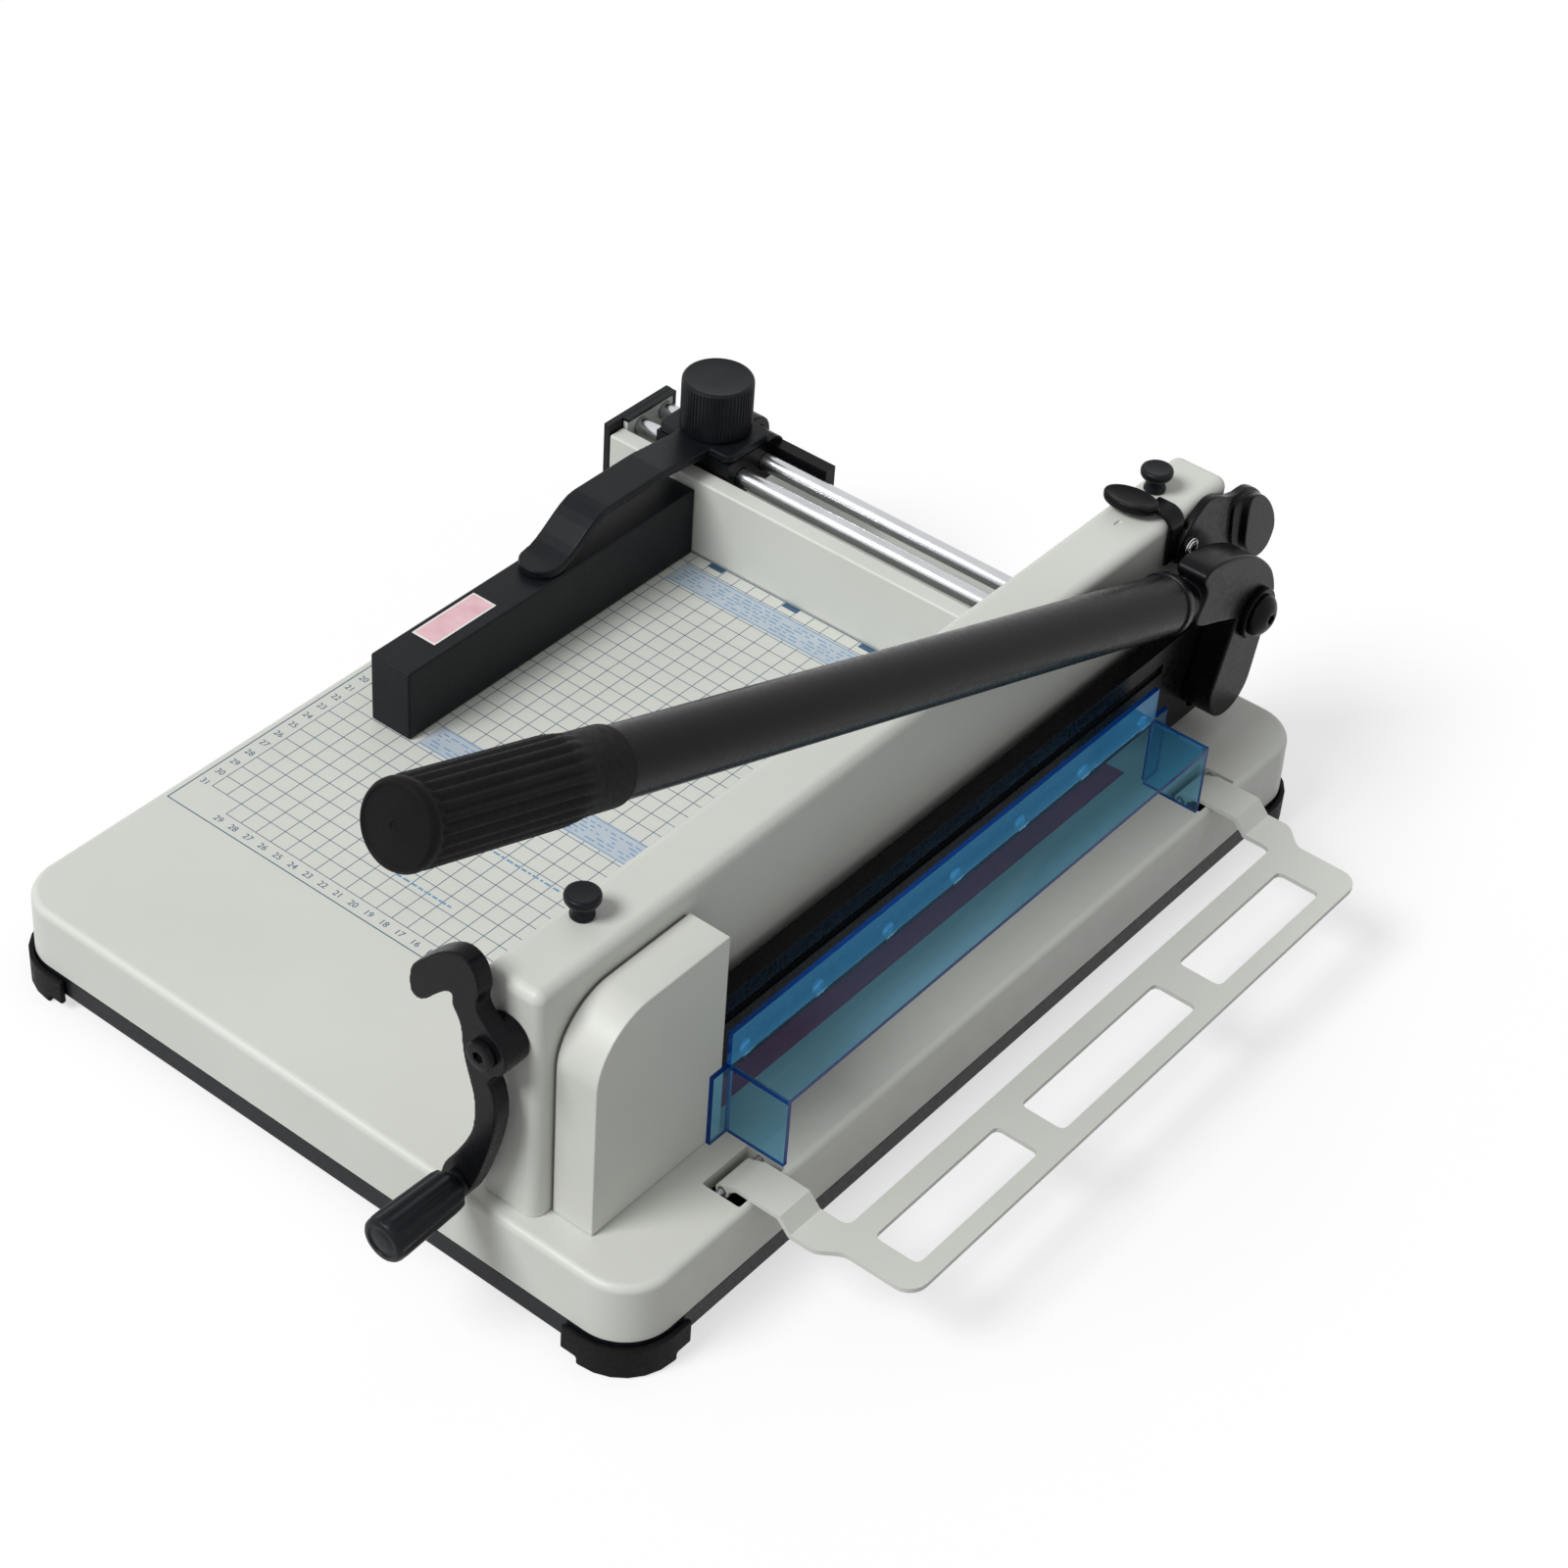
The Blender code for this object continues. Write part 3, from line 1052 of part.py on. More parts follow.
def make_crank_grip():
    front = -BEAM_Y / 2 - HUB_L - CRANK_PLATE_T
    start = front - RUN_GAP
    end = start - CRANK_STEM_L - CRANK_GRIP_L
    flutes = 8
    count = 3 * flutes
    rings = []
    stem_end = start - CRANK_STEM_L
    for depth, radius, flute in ((start, CRANK_STEM_R, 0), (stem_end, CRANK_STEM_R, 0),
                                 (stem_end - CRANK_STEM_R / 2, CRANK_GRIP_R * 0.9, CRANK_PIN_R / 4),
                                 (end + CRANK_STEM_R / 2, CRANK_GRIP_R, CRANK_PIN_R / 4),
                                 (end, CRANK_GRIP_R - CRANK_PIN_R / 2, 0)):
        ring = []
        for index in range(count):
            angle = 2 * math.pi * index / count
            here = radius - (flute if index % 3 == 0 else 0)
            centre = grip_centre()
            ring.append(Vector((centre[0] + here * math.cos(angle), depth,
                                centre[1] + here * math.sin(angle))))
        rings.append(ring)
    grip = add("crank_grip", loft(rings), BLACK_PLASTIC, HAND_GRIP)
    cut(grip, rod("Y", grip_centre(), CRANK_PIN_R + RUN_GAP, end - OVERRUN, start + OVERRUN, 20), "bore")
    cut(grip, rod("Y", grip_centre(), CRANK_STEM_R, end - OVERRUN, end + CRANK_STEM_R, 20), "screw_well")
    smooth(grip, 25)
    well = end + CRANK_STEM_R
    profile = [(well - RUN_GAP - CRANK_SCREW_H / 2, CRANK_STEM_R - RUN_GAP), (well - RUN_GAP,
                                                                              CRANK_STEM_R - RUN_GAP),
               (well - RUN_GAP, CRANK_PIN_R), (-BEAM_Y / 2 - HUB_L - CRANK_PIN_R - 2 * GAP, CRANK_PIN_R)]
    pin = add("crank_grip_pin", turned(profile, "Y", grip_centre(), 20), CHROME, CRANK)
    smooth(pin)


# Small parts on the beam
KNOB_HEAD_SHARES = ((0.28, 0.92), (0.50, 1.00), (0.80, 1.00), (1.00, 0.88))


def make_mushroom_knobs():
    for label, frame, knob_y in (("near", KNOB_NEAR, KNOB_NEAR_Y), ("far", KNOB_FAR, KNOB_FAR_Y)):
        foot = BEAM_H + GAP
        neck = foot + KNOB_STEM_H
        profile = [(BEAM_H - KNOB_SCREW_L, KNOB_SCREW_R), (foot, KNOB_SCREW_R), (foot, KNOB_STEM_R * 1.1),
                   (foot + KNOB_STEM_H / 4, KNOB_STEM_R * 1.1), (foot + KNOB_STEM_H / 2, KNOB_STEM_R),
                   (neck, KNOB_STEM_R)]
        profile += [(neck + KNOB_HEAD_H * rise, KNOB_HEAD_R * out) for rise, out in KNOB_HEAD_SHARES]
        knob = add("beam_knob_" + label, turned(profile, "Z", (KNOB_X, knob_y), 16), BLACK_PLASTIC, frame)
        smooth(knob)
    for name, label, knob_y in (("near_frame_cheek", "near", KNOB_NEAR_Y), ("far_frame_cheek", "far",
                                                                            KNOB_FAR_Y)):
        if BEAM_H - KNOB_SCREW_L < CHEEK_H:
            cut(bpy.data.objects[name], rod("Z", (KNOB_X, knob_y), KNOB_SCREW_R + RUN_GAP,
                                            BEAM_H - KNOB_SCREW_L - GAP, CHEEK_H + OVERRUN, 20),
                                            "screw_" + label)


# The wing's plate and its outer face, in shares of its span from the catch pin; the third share of a
# face point tells how far it is drawn in where the face meets the plate
WING_PLATE_SHARES = ((-0.129, -0.026), (-0.118, 0.059), (-0.072, 0.132), (0.013, 0.211), (0.145, 0.283),
                     (0.276, 0.263), (0.408, 0.191), (0.526, 0.151), (0.658, 0.138), (0.776, 0.072),
                     (0.882, -0.039), (0.961, -0.171), (0.993, -0.289), (0.980, -0.382), (0.928, -0.454),
                     (0.829, -0.480), (0.724, -0.441), (0.618, -0.342), (0.513, -0.243), (0.382, -0.184),
                     (0.224, -0.151), (0.092, -0.132), (-0.013, -0.132), (-0.092, -0.099))
WING_FACE_SHARES = ((0.589, 0.099, 1.0), (0.658, 0.116, 0.4), (0.766, 0.055, 0.0), (0.868, -0.053, 0.0),
                    (0.945, -0.178, 0.0), (0.978, -0.289, 0.0), (0.964, -0.371, 0.0),
                    (0.916, -0.437, 0.0), (0.829, -0.461, 0.0), (0.737, -0.424, 0.0),
                    (0.658, -0.342, 0.3), (0.605, -0.237, 0.8), (0.587, -0.066, 1.0))


def wing_solid(centre, x0):
    """The wing's round end, which sweeps outwards past the place where the lever's neck goes by."""
    rings = []
    lip = x0 + WING_T
    for depth, drawn in ((x0 + GAP, WING_SWEEP_Y), (lip, WING_SWEEP_Y),
                         (lip + WING_LIP / 4, WING_SWEEP_Y / 3), (lip + WING_LIP, 0)):
        face = [(centre[0] + WING_SPAN * along - drawn * pull, centre[1] + WING_SPAN * rise)
                for along, rise, pull in WING_FACE_SHARES]
        rings.append([on_axis("X", pair, depth) for pair in face])
    return loft(rings)


def make_catch():
    """A rocker: a thumb pad over the beam, a hub on the beam's side and a wing above the lever's head."""
    x0 = BEAM_FRONT_X + RUN_GAP
    x1 = x0 + CATCH_X
    centre = (CATCH_Y, CATCH_Z)
    plate = [(CATCH_Y + WING_SPAN * along, CATCH_Z + WING_SPAN * rise)
             for along, rise in WING_PLATE_SHARES]
    catch = add("safety_catch", prism(plate, "X", x0, x1), BLACK_CAST, CATCH)
    join(catch, wing_solid(centre, x0), "wing")
    bend = (BEAM_FRONT_X - BEAM_EDGE_R, BEAM_H - BEAM_EDGE_R)
    inner_r = BEAM_EDGE_R + RUN_GAP
    outer_r = inner_r + CATCH_STRIP_T
    rise = CATCH_RISE
    lifted = (bend[0], bend[1] + rise)
    inner = [(bend[0] + inner_r, CATCH_Z)] + arc(lifted, inner_r, 0, 90, 5)
    inner += [(PAD_X + PAD_LONG_R / 2, bend[1] + inner_r + rise)]
    outer = [(PAD_X + PAD_LONG_R / 2, bend[1] + outer_r + rise)]
    outer += arc(lifted, outer_r, 90, 0, 5) + [(bend[0] + outer_r, CATCH_Z)]
    strip_y = CATCH_Y - CATCH_PIN_R - CATCH_STRIP_Y
    join(catch, prism(inner + outer, "Y", strip_y, strip_y + CATCH_STRIP_Y), "strip")
    turn = math.radians(PAD_DEG)
    pad = []
    for a, b in circle((0, 0), 1, 20):
        a, b = a * PAD_LONG_R, b * PAD_SHORT_R
        pad.append((PAD_X + a * math.cos(turn) - b * math.sin(turn),
                    PAD_Y + a * math.sin(turn) + b * math.cos(turn)))
    pad_z = bend[1] + outer_r + rise - CATCH_STRIP_T / 2
    join(catch, prism(pad, "Z", pad_z, pad_z + PAD_T), "pad")
    cut(catch, rod("X", centre, CATCH_PIN_R + RUN_GAP, x0 - OVERRUN, x1 + OVERRUN), "bore")
    smooth(catch)
    head = x1 + GAP
    profile = [(BEAM_MID_X + RUN_GAP, CATCH_PIN_R), (head, CATCH_PIN_R), (head, CATCH_PIN_HEAD_R),
               (head + CATCH_PIN_HEAD_T / 2, CATCH_PIN_HEAD_R), (head + CATCH_PIN_HEAD_T, CATCH_PIN_R)]
    pin = add("catch_pin", turned(profile, "X", centre, 16), CHROME, TABLE, (BEAM_FRONT_X, CATCH_Y, CATCH_Z))
    smooth(pin)


# Fence, rods and back gauge
def make_fence():
    fence = add("side_fence", block((FENCE_REAR_X, FENCE_Y, GAP), (BEAM_REAR_X - GAP, FENCE_Y + FENCE_T,
                                                                   FENCE_H)),
                CREAM, TABLE)
    bevel(fence, FENCE_T / 8)
    far = ROD_FAR_Y + ROD_R + END_PLATE_WALL
    plate_top = ROD_Z + ROD_R + END_PLATE_WALL
    plate = add("rod_end_plate", block((FENCE_REAR_X, FENCE_Y + FENCE_T + GAP, GAP),
                                       (FENCE_REAR_X + END_PLATE_T, far, plate_top)), CREAM, TABLE)
    front_x = BEAM_REAR_X - GAP
    block_front = add("rod_front_block", block((front_x - 4 * END_PLATE_T, FENCE_Y + FENCE_T + GAP, GAP),
                                               (front_x, ROD_FAR_Y + 2 * ROD_R, ROD_Z + 2 * ROD_R)),
                      BLACK_PLASTIC, TABLE)
    for label, rod_y in (("inner", ROD_NEAR_Y), ("outer", ROD_FAR_Y)):
        start = FENCE_REAR_X - OVERRUN / 4
        end = front_x - END_PLATE_T
        guide = add("guide_rod_" + label, rod("X", (rod_y, ROD_Z), ROD_R, FENCE_REAR_X + GAP, end, 16),
                    CHROME,
                    TABLE, (0, rod_y, ROD_Z))
        smooth(guide)
        cut(plate, rod("X", (rod_y, ROD_Z), ROD_R + GAP, start - OVERRUN,
                       FENCE_REAR_X + END_PLATE_T + OVERRUN, 16),
            "hole_" + label)
        cut(block_front, rod("X", (rod_y, ROD_Z), ROD_R + GAP, front_x - 4 * END_PLATE_T - OVERRUN,
                             end + GAP, 16),
            "hole_" + label)
    cap_x0 = FENCE_REAR_X - END_CAP_T - GAP
    rim = END_RIM_T + GAP
    cap = add("rod_end_cap", block((cap_x0, FENCE_Y, GAP), (FENCE_REAR_X - GAP, far + rim, plate_top + rim)),
              BLACK_PLASTIC, TABLE)
    inset = GAP / 2
    join(cap, block((cap_x0 + inset, FENCE_Y + FENCE_T + GAP, plate_top + GAP),
                    (FENCE_REAR_X + END_CAP_RIM, far + rim - inset, plate_top + rim - inset)), "top_rim")
    join(cap, block((cap_x0 + inset, far + GAP, GAP + inset),
                    (FENCE_REAR_X + END_CAP_RIM - inset, far + rim - inset / 2, plate_top + rim - 2 * inset)),
         "side_rim")


def make_gauge():
    gauge = add("gauge_block", block((GAUGE_REAR_X, GAUGE_NEAR_Y, GAP), (GAUGE_FRONT_X, FENCE_Y - RUN_GAP,
                                                                         GAUGE_H)),
                BLACK_PLASTIC, GAUGE)
    bevel(gauge, GAUGE_EDGE)
    x0 = GAUGE_MID_X - CARRIAGE_X / 2
    x1 = GAUGE_MID_X + CARRIAGE_X / 2
    top = STRAP_TOP_Z - STRAP_T - GAP
    far = CARRIAGE_NEAR_Y + CARRIAGE_Y
    bend = STRAP_R - STRAP_T / 2 - GAP
    outline = ([(CARRIAGE_NEAR_Y, top - CARRIAGE_H), (far, top - CARRIAGE_H)]
               + arc((far - bend, top - bend), bend, 0, 90, 5) + [(CARRIAGE_NEAR_Y, top)])
    carriage = add("gauge_carriage", prism(outline, "X", x0, x1), BLACK_CAST, GAUGE)
    bar_mid = top - CARRIAGE_H / 2
    join(carriage, block((x1 - OVERRUN, far - GIB_T, bar_mid - GIB_H / 2),
                         (GAUGE_MID_X + GIB_REACH, far - GAP, bar_mid + GIB_H / 2)), "bar")
    for label, rod_y in (("inner", ROD_NEAR_Y), ("outer", ROD_FAR_Y)):
        cut(carriage, rod("X", (rod_y, ROD_Z), ROD_R + RUN_GAP, x0 - OVERRUN, x1 + OVERRUN, 16),
            "bore_" + label)
    add("gauge_label", block((GAUGE_REAR_X + GAUGE_X / 8, LABEL_NEAR_Y, GAUGE_H + GAP / 10),
                             (GAUGE_REAR_X + GAUGE_X / 8 + LABEL_X, LABEL_NEAR_Y + LABEL_Y,
                              GAUGE_H + GAP / 10 + LABEL_T)), PINK, GAUGE)


def bow_line():
    """Centre line of the handle in the YZ plane, from its tip to the strap's far lip."""
    tip_z = GAUGE_H + BOW_TIP_T / 2 + GAP
    high = BOW_TOP_Z - STRAP_T / 2
    flat = STRAP_TOP_Z - STRAP_T / 2
    rise = BOW_RISE_Y - BOW_TIP_Y
    line = []
    for index in range(9):
        share = index / 8
        ease = share * share * (3 - 2 * share)
        line.append((BOW_TIP_Y + rise * share, tip_z + (high - tip_z) * ease))
    far = CARRIAGE_NEAR_Y + CARRIAGE_Y + STRAP_T / 2 + GAP
    line.append((FENCE_Y - GAUGE_X, high))
    line.append((FENCE_Y + FENCE_T, flat))
    line += arc((far - STRAP_R, flat - STRAP_R), STRAP_R, 90, 0, 5)
    line.append((far, flat - STRAP_R - STRAP_DROP / 2))
    return line


def ribbon(line, thickness, x0, x1):
    """A strip of even thickness along a line in the YZ plane."""
    upper, lower = [], []
    for index, (y, z) in enumerate(line):
        before = line[max(index - 1, 0)]
        after = line[min(index + 1, len(line) - 1)]
        dy, dz = after[0] - before[0], after[1] - before[1]
        size = math.hypot(dy, dz)
        ny, nz = -dz / size * thickness / 2, dy / size * thickness / 2
        upper.append((y + ny, z + nz))
        lower.append((y - ny, z - nz))
    return prism(upper + lower[::-1], "X", x0, x1)


def make_gauge_handle():
    handle = add("gauge_handle", ribbon(bow_line(), STRAP_T, GAUGE_REAR_X + GAUGE_EDGE,
                                        GAUGE_FRONT_X - GAUGE_EDGE),
                 BLACK_PLASTIC, GAUGE)
    tip_mid = (GAUGE_MID_X, BOW_TIP_Y)
    pad = arc((0, 0), 1, 0, 345, 23)
    reach = GAUGE_X / 2 - GAUGE_EDGE
    pad = [(tip_mid[0] + reach * a, tip_mid[1] + reach * b) for a, b in pad]
    join(handle, prism(pad, "Z", GAUGE_H + GAP, GAUGE_H + GAP + STRAP_T), "tip")
    x0 = GAUGE_MID_X - CARRIAGE_X / 2
    x1 = GAUGE_MID_X + CARRIAGE_X / 2
    plate = rounded_box((x0, CARRIAGE_NEAR_Y), (x1, CARRIAGE_NEAR_Y + CARRIAGE_Y - STRAP_R), STRAP_T)
    join(handle, prism(plate, "Z", STRAP_TOP_Z - STRAP_T + GAP / 2, STRAP_TOP_Z - GAP / 2), "plate")
    cut(handle, rod("Z", (GAUGE_MID_X, GAUGE_KNOB_Y), KNOB_STEM_R + RUN_GAP, STRAP_TOP_Z - STRAP_T - OVERRUN,
                    STRAP_TOP_Z + OVERRUN, 16), "screw_hole")
    smooth(handle)


def make_gauge_knob():
    low = STRAP_TOP_Z + GAP
    high = low + GAUGE_KNOB_H
    count = 2 * GAUGE_KNOB_RIB_COUNT
    rings = []
    for depth, radius, rib in ((low, GAUGE_KNOB_R - GAUGE_EDGE, 0), (low + GAUGE_EDGE, GAUGE_KNOB_R,
                                                                     GAUGE_KNOB_RIB_H),
                               (high - GAUGE_EDGE, GAUGE_KNOB_R, GAUGE_KNOB_RIB_H),
                               (high, GAUGE_KNOB_R - GAUGE_EDGE, 0)):
        ring = []
        for index in range(count):
            angle = 2 * math.pi * index / count
            here = radius - (rib if index % 2 else 0)
            ring.append(Vector((GAUGE_MID_X + here * math.cos(angle), GAUGE_KNOB_Y + here * math.sin(angle),
                                depth)))
        rings.append(ring)
    knob = add("gauge_knob", loft(rings), BLACK_PLASTIC, GAUGE_KNOB)
    join(knob, rod("Z", (GAUGE_MID_X, GAUGE_KNOB_Y), KNOB_STEM_R, STRAP_TOP_Z - STRAP_T, low + GAUGE_EDGE,
                   16),
         "screw")
    smooth(knob, 25)


# Guard and rack
def make_guard():
    sheet = GUARD_SHEET
    back = GUARD_BACK_X
    profile = [(back, GUARD_H - sheet), (GUARD_FRONT_X, GUARD_H - sheet), (GUARD_FRONT_X, GUARD_H),
               (back + sheet, GUARD_H), (back + sheet, GUARD_STRIP_Z), (back, GUARD_STRIP_Z)]
    guard = add("blade_guard", prism(profile, "Y", GUARD_NEAR_Y, GUARD_FAR_Y), BLUE, TABLE)
    trim = GAP / 2
    for label, y0, y1 in (("near", GUARD_NEAR_Y, GUARD_NEAR_Y + sheet), ("far", GUARD_FAR_Y - sheet,
                                                                         GUARD_FAR_Y)):
        join(guard, block((back + trim, y0 + trim, GAP + trim), (GUARD_FRONT_X - trim, y1 - trim,
                                                                 GUARD_H - trim)),
             "end_" + label)
    for label, y0, y1 in (("near", GUARD_NEAR_Y - GUARD_FLANGE, GUARD_NEAR_Y + sheet),
                          ("far", GUARD_FAR_Y - sheet, GUARD_FAR_Y + GUARD_FLANGE)):
        join(guard, block((back + trim / 2, y0, GAP + trim / 2), (back + sheet, y1 - trim,
                                                                  GUARD_H - trim / 2)),
             "flange_" + label)


def shoulder(from_y, to_y):
    """The soft step from an arm's edge to the frame's end, going outwards along X."""
    line = []
    for index in range(7):
        share = index / 6
        ease = share * share * (3 - 2 * share)
        line.append((SHOULDER_X0 + (SHOULDER_X1 - SHOULDER_X0) * share, from_y + (to_y - from_y) * ease))
    return line


def rack_plan():
    """The flat part of the rack seen from above: two arm ends and the frame between them."""
    half = ARM_W / 2
    corner = RACK_CORNER_R
    nook = RACK_NOOK_R
    front = RACK_FRONT_X - corner
    plan = [(ARM_FOOT_X, ARM_NEAR_Y - half)] + shoulder(ARM_NEAR_Y - half, RACK_NEAR_Y)
    plan += arc((front, RACK_NEAR_Y + corner), corner, -90, 0, 5)
    plan += arc((front, RACK_FAR_Y - corner), corner, 0, 90, 5)
    plan += shoulder(ARM_FAR_Y + half, RACK_FAR_Y)[::-1] + [(ARM_FOOT_X, ARM_FAR_Y + half)]
    plan += [(ARM_FOOT_X, ARM_FAR_Y - half)]
    plan += arc((RACK_REAR_X - nook, ARM_FAR_Y - half - nook), nook, 90, 0, 3)
    plan += arc((RACK_REAR_X - nook, ARM_NEAR_Y + half + nook), nook, 0, -90, 3)
    return plan + [(ARM_FOOT_X, ARM_NEAR_Y + half)]


def make_front_rack():
    high = RACK_TOP_Z
    low = RACK_TOP_Z - RACK_SHEET
    rack = add("front_rack", prism(rack_plan(), "Z", low, high), CREAM, RACK)
    for number, (y0, y1) in enumerate(RACK_WINDOWS_Y):
        window = rounded_box((RACK_REAR_X + RACK_RAIL_REAR, y0), (RACK_FRONT_X - RACK_RAIL_FRONT, y1),
                             WINDOW_R, 2)
        cut(rack, prism(window, "Z", low - OVERRUN, high + OVERRUN), "window_%d" % number)
    sheet = RACK_SHEET
    top = ARM_TOP_Z
    trim = GAP / 3
    lap = ARM_FOOT_X + sheet
    upper = [(HINGE_X, HINGE_Z + HINGE_R - trim), (HINGE_X + 2 * HINGE_R, top), (ARM_BEND_X, top),
             (ARM_FOOT_X, high - trim), (lap, high - trim)]
    lower = [(lap, low + trim), (ARM_FOOT_X - sheet / 2, low + trim), (ARM_BEND_X - sheet / 2, top - sheet),
             (HINGE_X + 2 * HINGE_R, top - sheet), (HINGE_X + HINGE_R / 2, HINGE_Z)]
    shell = bpy.data.objects["base_shell"]
    for label, arm_y in (("near", ARM_NEAR_Y), ("far", ARM_FAR_Y)):
        join(rack, prism(upper + lower, "Y", arm_y - ARM_W / 2 + trim, arm_y + ARM_W / 2 - trim),
             "arm_" + label)
        join(rack, rod("Y", (HINGE_X, HINGE_Z), HINGE_R, arm_y - ARM_W / 2 + GAP, arm_y + ARM_W / 2 - GAP,
                       16),
             "eye_" + label)
        cut(rack, rod("Y", (HINGE_X, HINGE_Z), HINGE_PIN_R + RUN_GAP, arm_y - ARM_W, arm_y + ARM_W, 12),
            "bore_" + label)
        half = ARM_W / 2 + SLOT_SIDE + PIN_SEAT
        cut(shell, rod("Y", (HINGE_X, HINGE_Z), HINGE_PIN_R + GAP, arm_y - half - GAP, arm_y + half + GAP,
                       12),
            "pin_seat_" + label)
        pin = add("rack_pin_" + label, rod("Y", (HINGE_X, HINGE_Z), HINGE_PIN_R, arm_y - half, arm_y + half,
                                           12),
                  STEEL, TABLE, (HINGE_X, arm_y, HINGE_Z))
        smooth(pin)
    smooth(rack)


def stand_on_floor():
    """Lifts the table frame so that the machine stands at the middle of its own box, on Z zero."""
    middle = (REACH_LOW + REACH_HIGH) / 2
    TABLE.location = (-middle.x, -middle.y, -REACH_LOW.z)


make_base_shell()
make_bottom_tray()
make_feet()
make_cutting_stick()
make_beam_housing()
make_cheeks()
make_end_cover()
make_blade()
make_carrier()
make_blade_bolts()
make_slide_pins()
make_lever_head()
make_lever_tube()
make_lever_grip()
make_pivot_bolt()
make_drive_pin()
make_crank_shaft()
make_idler()
make_pinion_shaft()
make_press_plate()
make_crank()
make_crank_grip()
make_mushroom_knobs()
make_catch()
make_fence()
make_gauge()
make_gauge_handle()
make_gauge_knob()
make_guard()
make_front_rack()
stand_on_floor()
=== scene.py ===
"""Visual model of a stack paper cutter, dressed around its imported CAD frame."""

import json
import math

import bmesh
import bpy
import numpy as np
from mathutils import Matrix, Vector


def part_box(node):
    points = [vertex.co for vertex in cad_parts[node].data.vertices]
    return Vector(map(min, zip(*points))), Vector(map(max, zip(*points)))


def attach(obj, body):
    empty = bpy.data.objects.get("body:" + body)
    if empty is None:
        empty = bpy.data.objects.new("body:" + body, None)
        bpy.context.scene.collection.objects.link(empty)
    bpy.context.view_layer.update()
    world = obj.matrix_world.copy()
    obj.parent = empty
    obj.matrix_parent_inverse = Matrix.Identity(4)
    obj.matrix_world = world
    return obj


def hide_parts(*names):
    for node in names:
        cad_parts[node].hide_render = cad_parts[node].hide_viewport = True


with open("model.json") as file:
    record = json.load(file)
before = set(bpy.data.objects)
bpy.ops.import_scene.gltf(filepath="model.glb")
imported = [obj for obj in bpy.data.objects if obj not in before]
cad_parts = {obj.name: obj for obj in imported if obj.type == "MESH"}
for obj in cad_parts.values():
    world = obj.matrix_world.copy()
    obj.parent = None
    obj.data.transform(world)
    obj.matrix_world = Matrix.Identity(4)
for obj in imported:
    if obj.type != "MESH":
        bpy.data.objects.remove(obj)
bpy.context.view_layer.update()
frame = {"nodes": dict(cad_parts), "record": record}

MM = 0.001
PHOTO_PX = 1600

# The table frame of the CAD: middle of the base, with Z from the table top
shell_low, shell_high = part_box("base_shell")
TABLE = Vector(((shell_low.x + shell_high.x) / 2, (shell_low.y + shell_high.y) / 2, shell_high.z))


def at(x, y, z):
    """A place in table coordinates, in millimetres, as a point of the frame."""
    return TABLE + Vector((x, y, z)) * MM


def local_box(node):
    """A node's lowest and highest corner in table millimetres."""
    low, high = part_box(node)
    return (low - TABLE) / MM, (high - TABLE) / MM


# Node materials
def new_material(name):
    made = bpy.data.materials.new(name)
    made.use_nodes = True
    nodes, links = made.node_tree.nodes, made.node_tree.links
    return made, nodes, links, nodes["Principled BSDF"]


def object_noise(nodes, links, scale, detail=3.0, stretch=(1, 1, 1)):
    """Noise in object coordinates, so that it stays with the piece from every side."""
    coords = nodes.new("ShaderNodeTexCoord")
    mapping = nodes.new("ShaderNodeMapping")
    mapping.inputs["Scale"].default_value = stretch
    noise = nodes.new("ShaderNodeTexNoise")
    noise.inputs["Scale"].default_value = scale
    noise.inputs["Detail"].default_value = detail
    links.new(coords.outputs["Object"], mapping.inputs["Vector"])
    links.new(mapping.outputs["Vector"], noise.inputs["Vector"])
    return noise


# Where most values of the noise lie
NOISE_LOW, NOISE_HIGH = 0.3, 0.7


def ramp(nodes, links, source, low, high):
    """Maps a noise value to a range."""
    node = nodes.new("ShaderNodeMapRange")
    node.inputs["From Min"].default_value = NOISE_LOW
    node.inputs["From Max"].default_value = NOISE_HIGH
    node.inputs["To Min"].default_value = low
    node.inputs["To Max"].default_value = high
    links.new(source, node.inputs["Value"])
    return node.outputs["Result"]


def colour_mix(nodes, links, factor, first, second):
    node = nodes.new("ShaderNodeMix")
    node.data_type = "RGBA"
    node.inputs[6].default_value = (*first, 1.0)
    node.inputs[7].default_value = (*second, 1.0)
    links.new(factor, node.inputs[0])
    return node.outputs[2]


def bump(nodes, links, shader, height, strength, distance):
    node = nodes.new("ShaderNodeBump")
    node.inputs["Strength"].default_value = strength
    node.inputs["Distance"].default_value = distance
    links.new(height, node.inputs["Height"])
    links.new(node.outputs["Normal"], shader.inputs["Normal"])


def surface(name, colour, dark, rough, spread, grain, depth, cloud=9.0, metallic=0.0, stretch=(1, 1, 1),
            specular=0.5):
    """A painted, cast or moulded surface: clouded colour, uneven gloss and a fine relief.

    The colour clouds towards dark at the scale of cloud, and the roughness varies by spread. The relief has
    the scale of grain and the depth given, in metres.
    """
    made, nodes, links, shader = new_material(name)
    broad = object_noise(nodes, links, cloud, 4.0)
    fine = object_noise(nodes, links, grain, 2.0, stretch)
    middle = object_noise(nodes, links, cloud * 12, 3.0, stretch)
    tone = ramp(nodes, links, broad.outputs["Fac"], 0.0, 1.0)
    links.new(colour_mix(nodes, links, tone, colour, dark), shader.inputs["Base Color"])
    gloss = ramp(nodes, links, middle.outputs["Fac"], rough - spread, rough + spread)
    links.new(gloss, shader.inputs["Roughness"])
    bump(nodes, links, shader, fine.outputs["Fac"], 1.0, depth)
    shader.inputs["Metallic"].default_value = metallic
    shader.inputs["Specular IOR Level"].default_value = specular
    return made


# The index is lower than real acrylic has, so that the sheet mirrors little of the white studio
GUARD_IOR = 1.18
SMEAR_TINT = 0.88


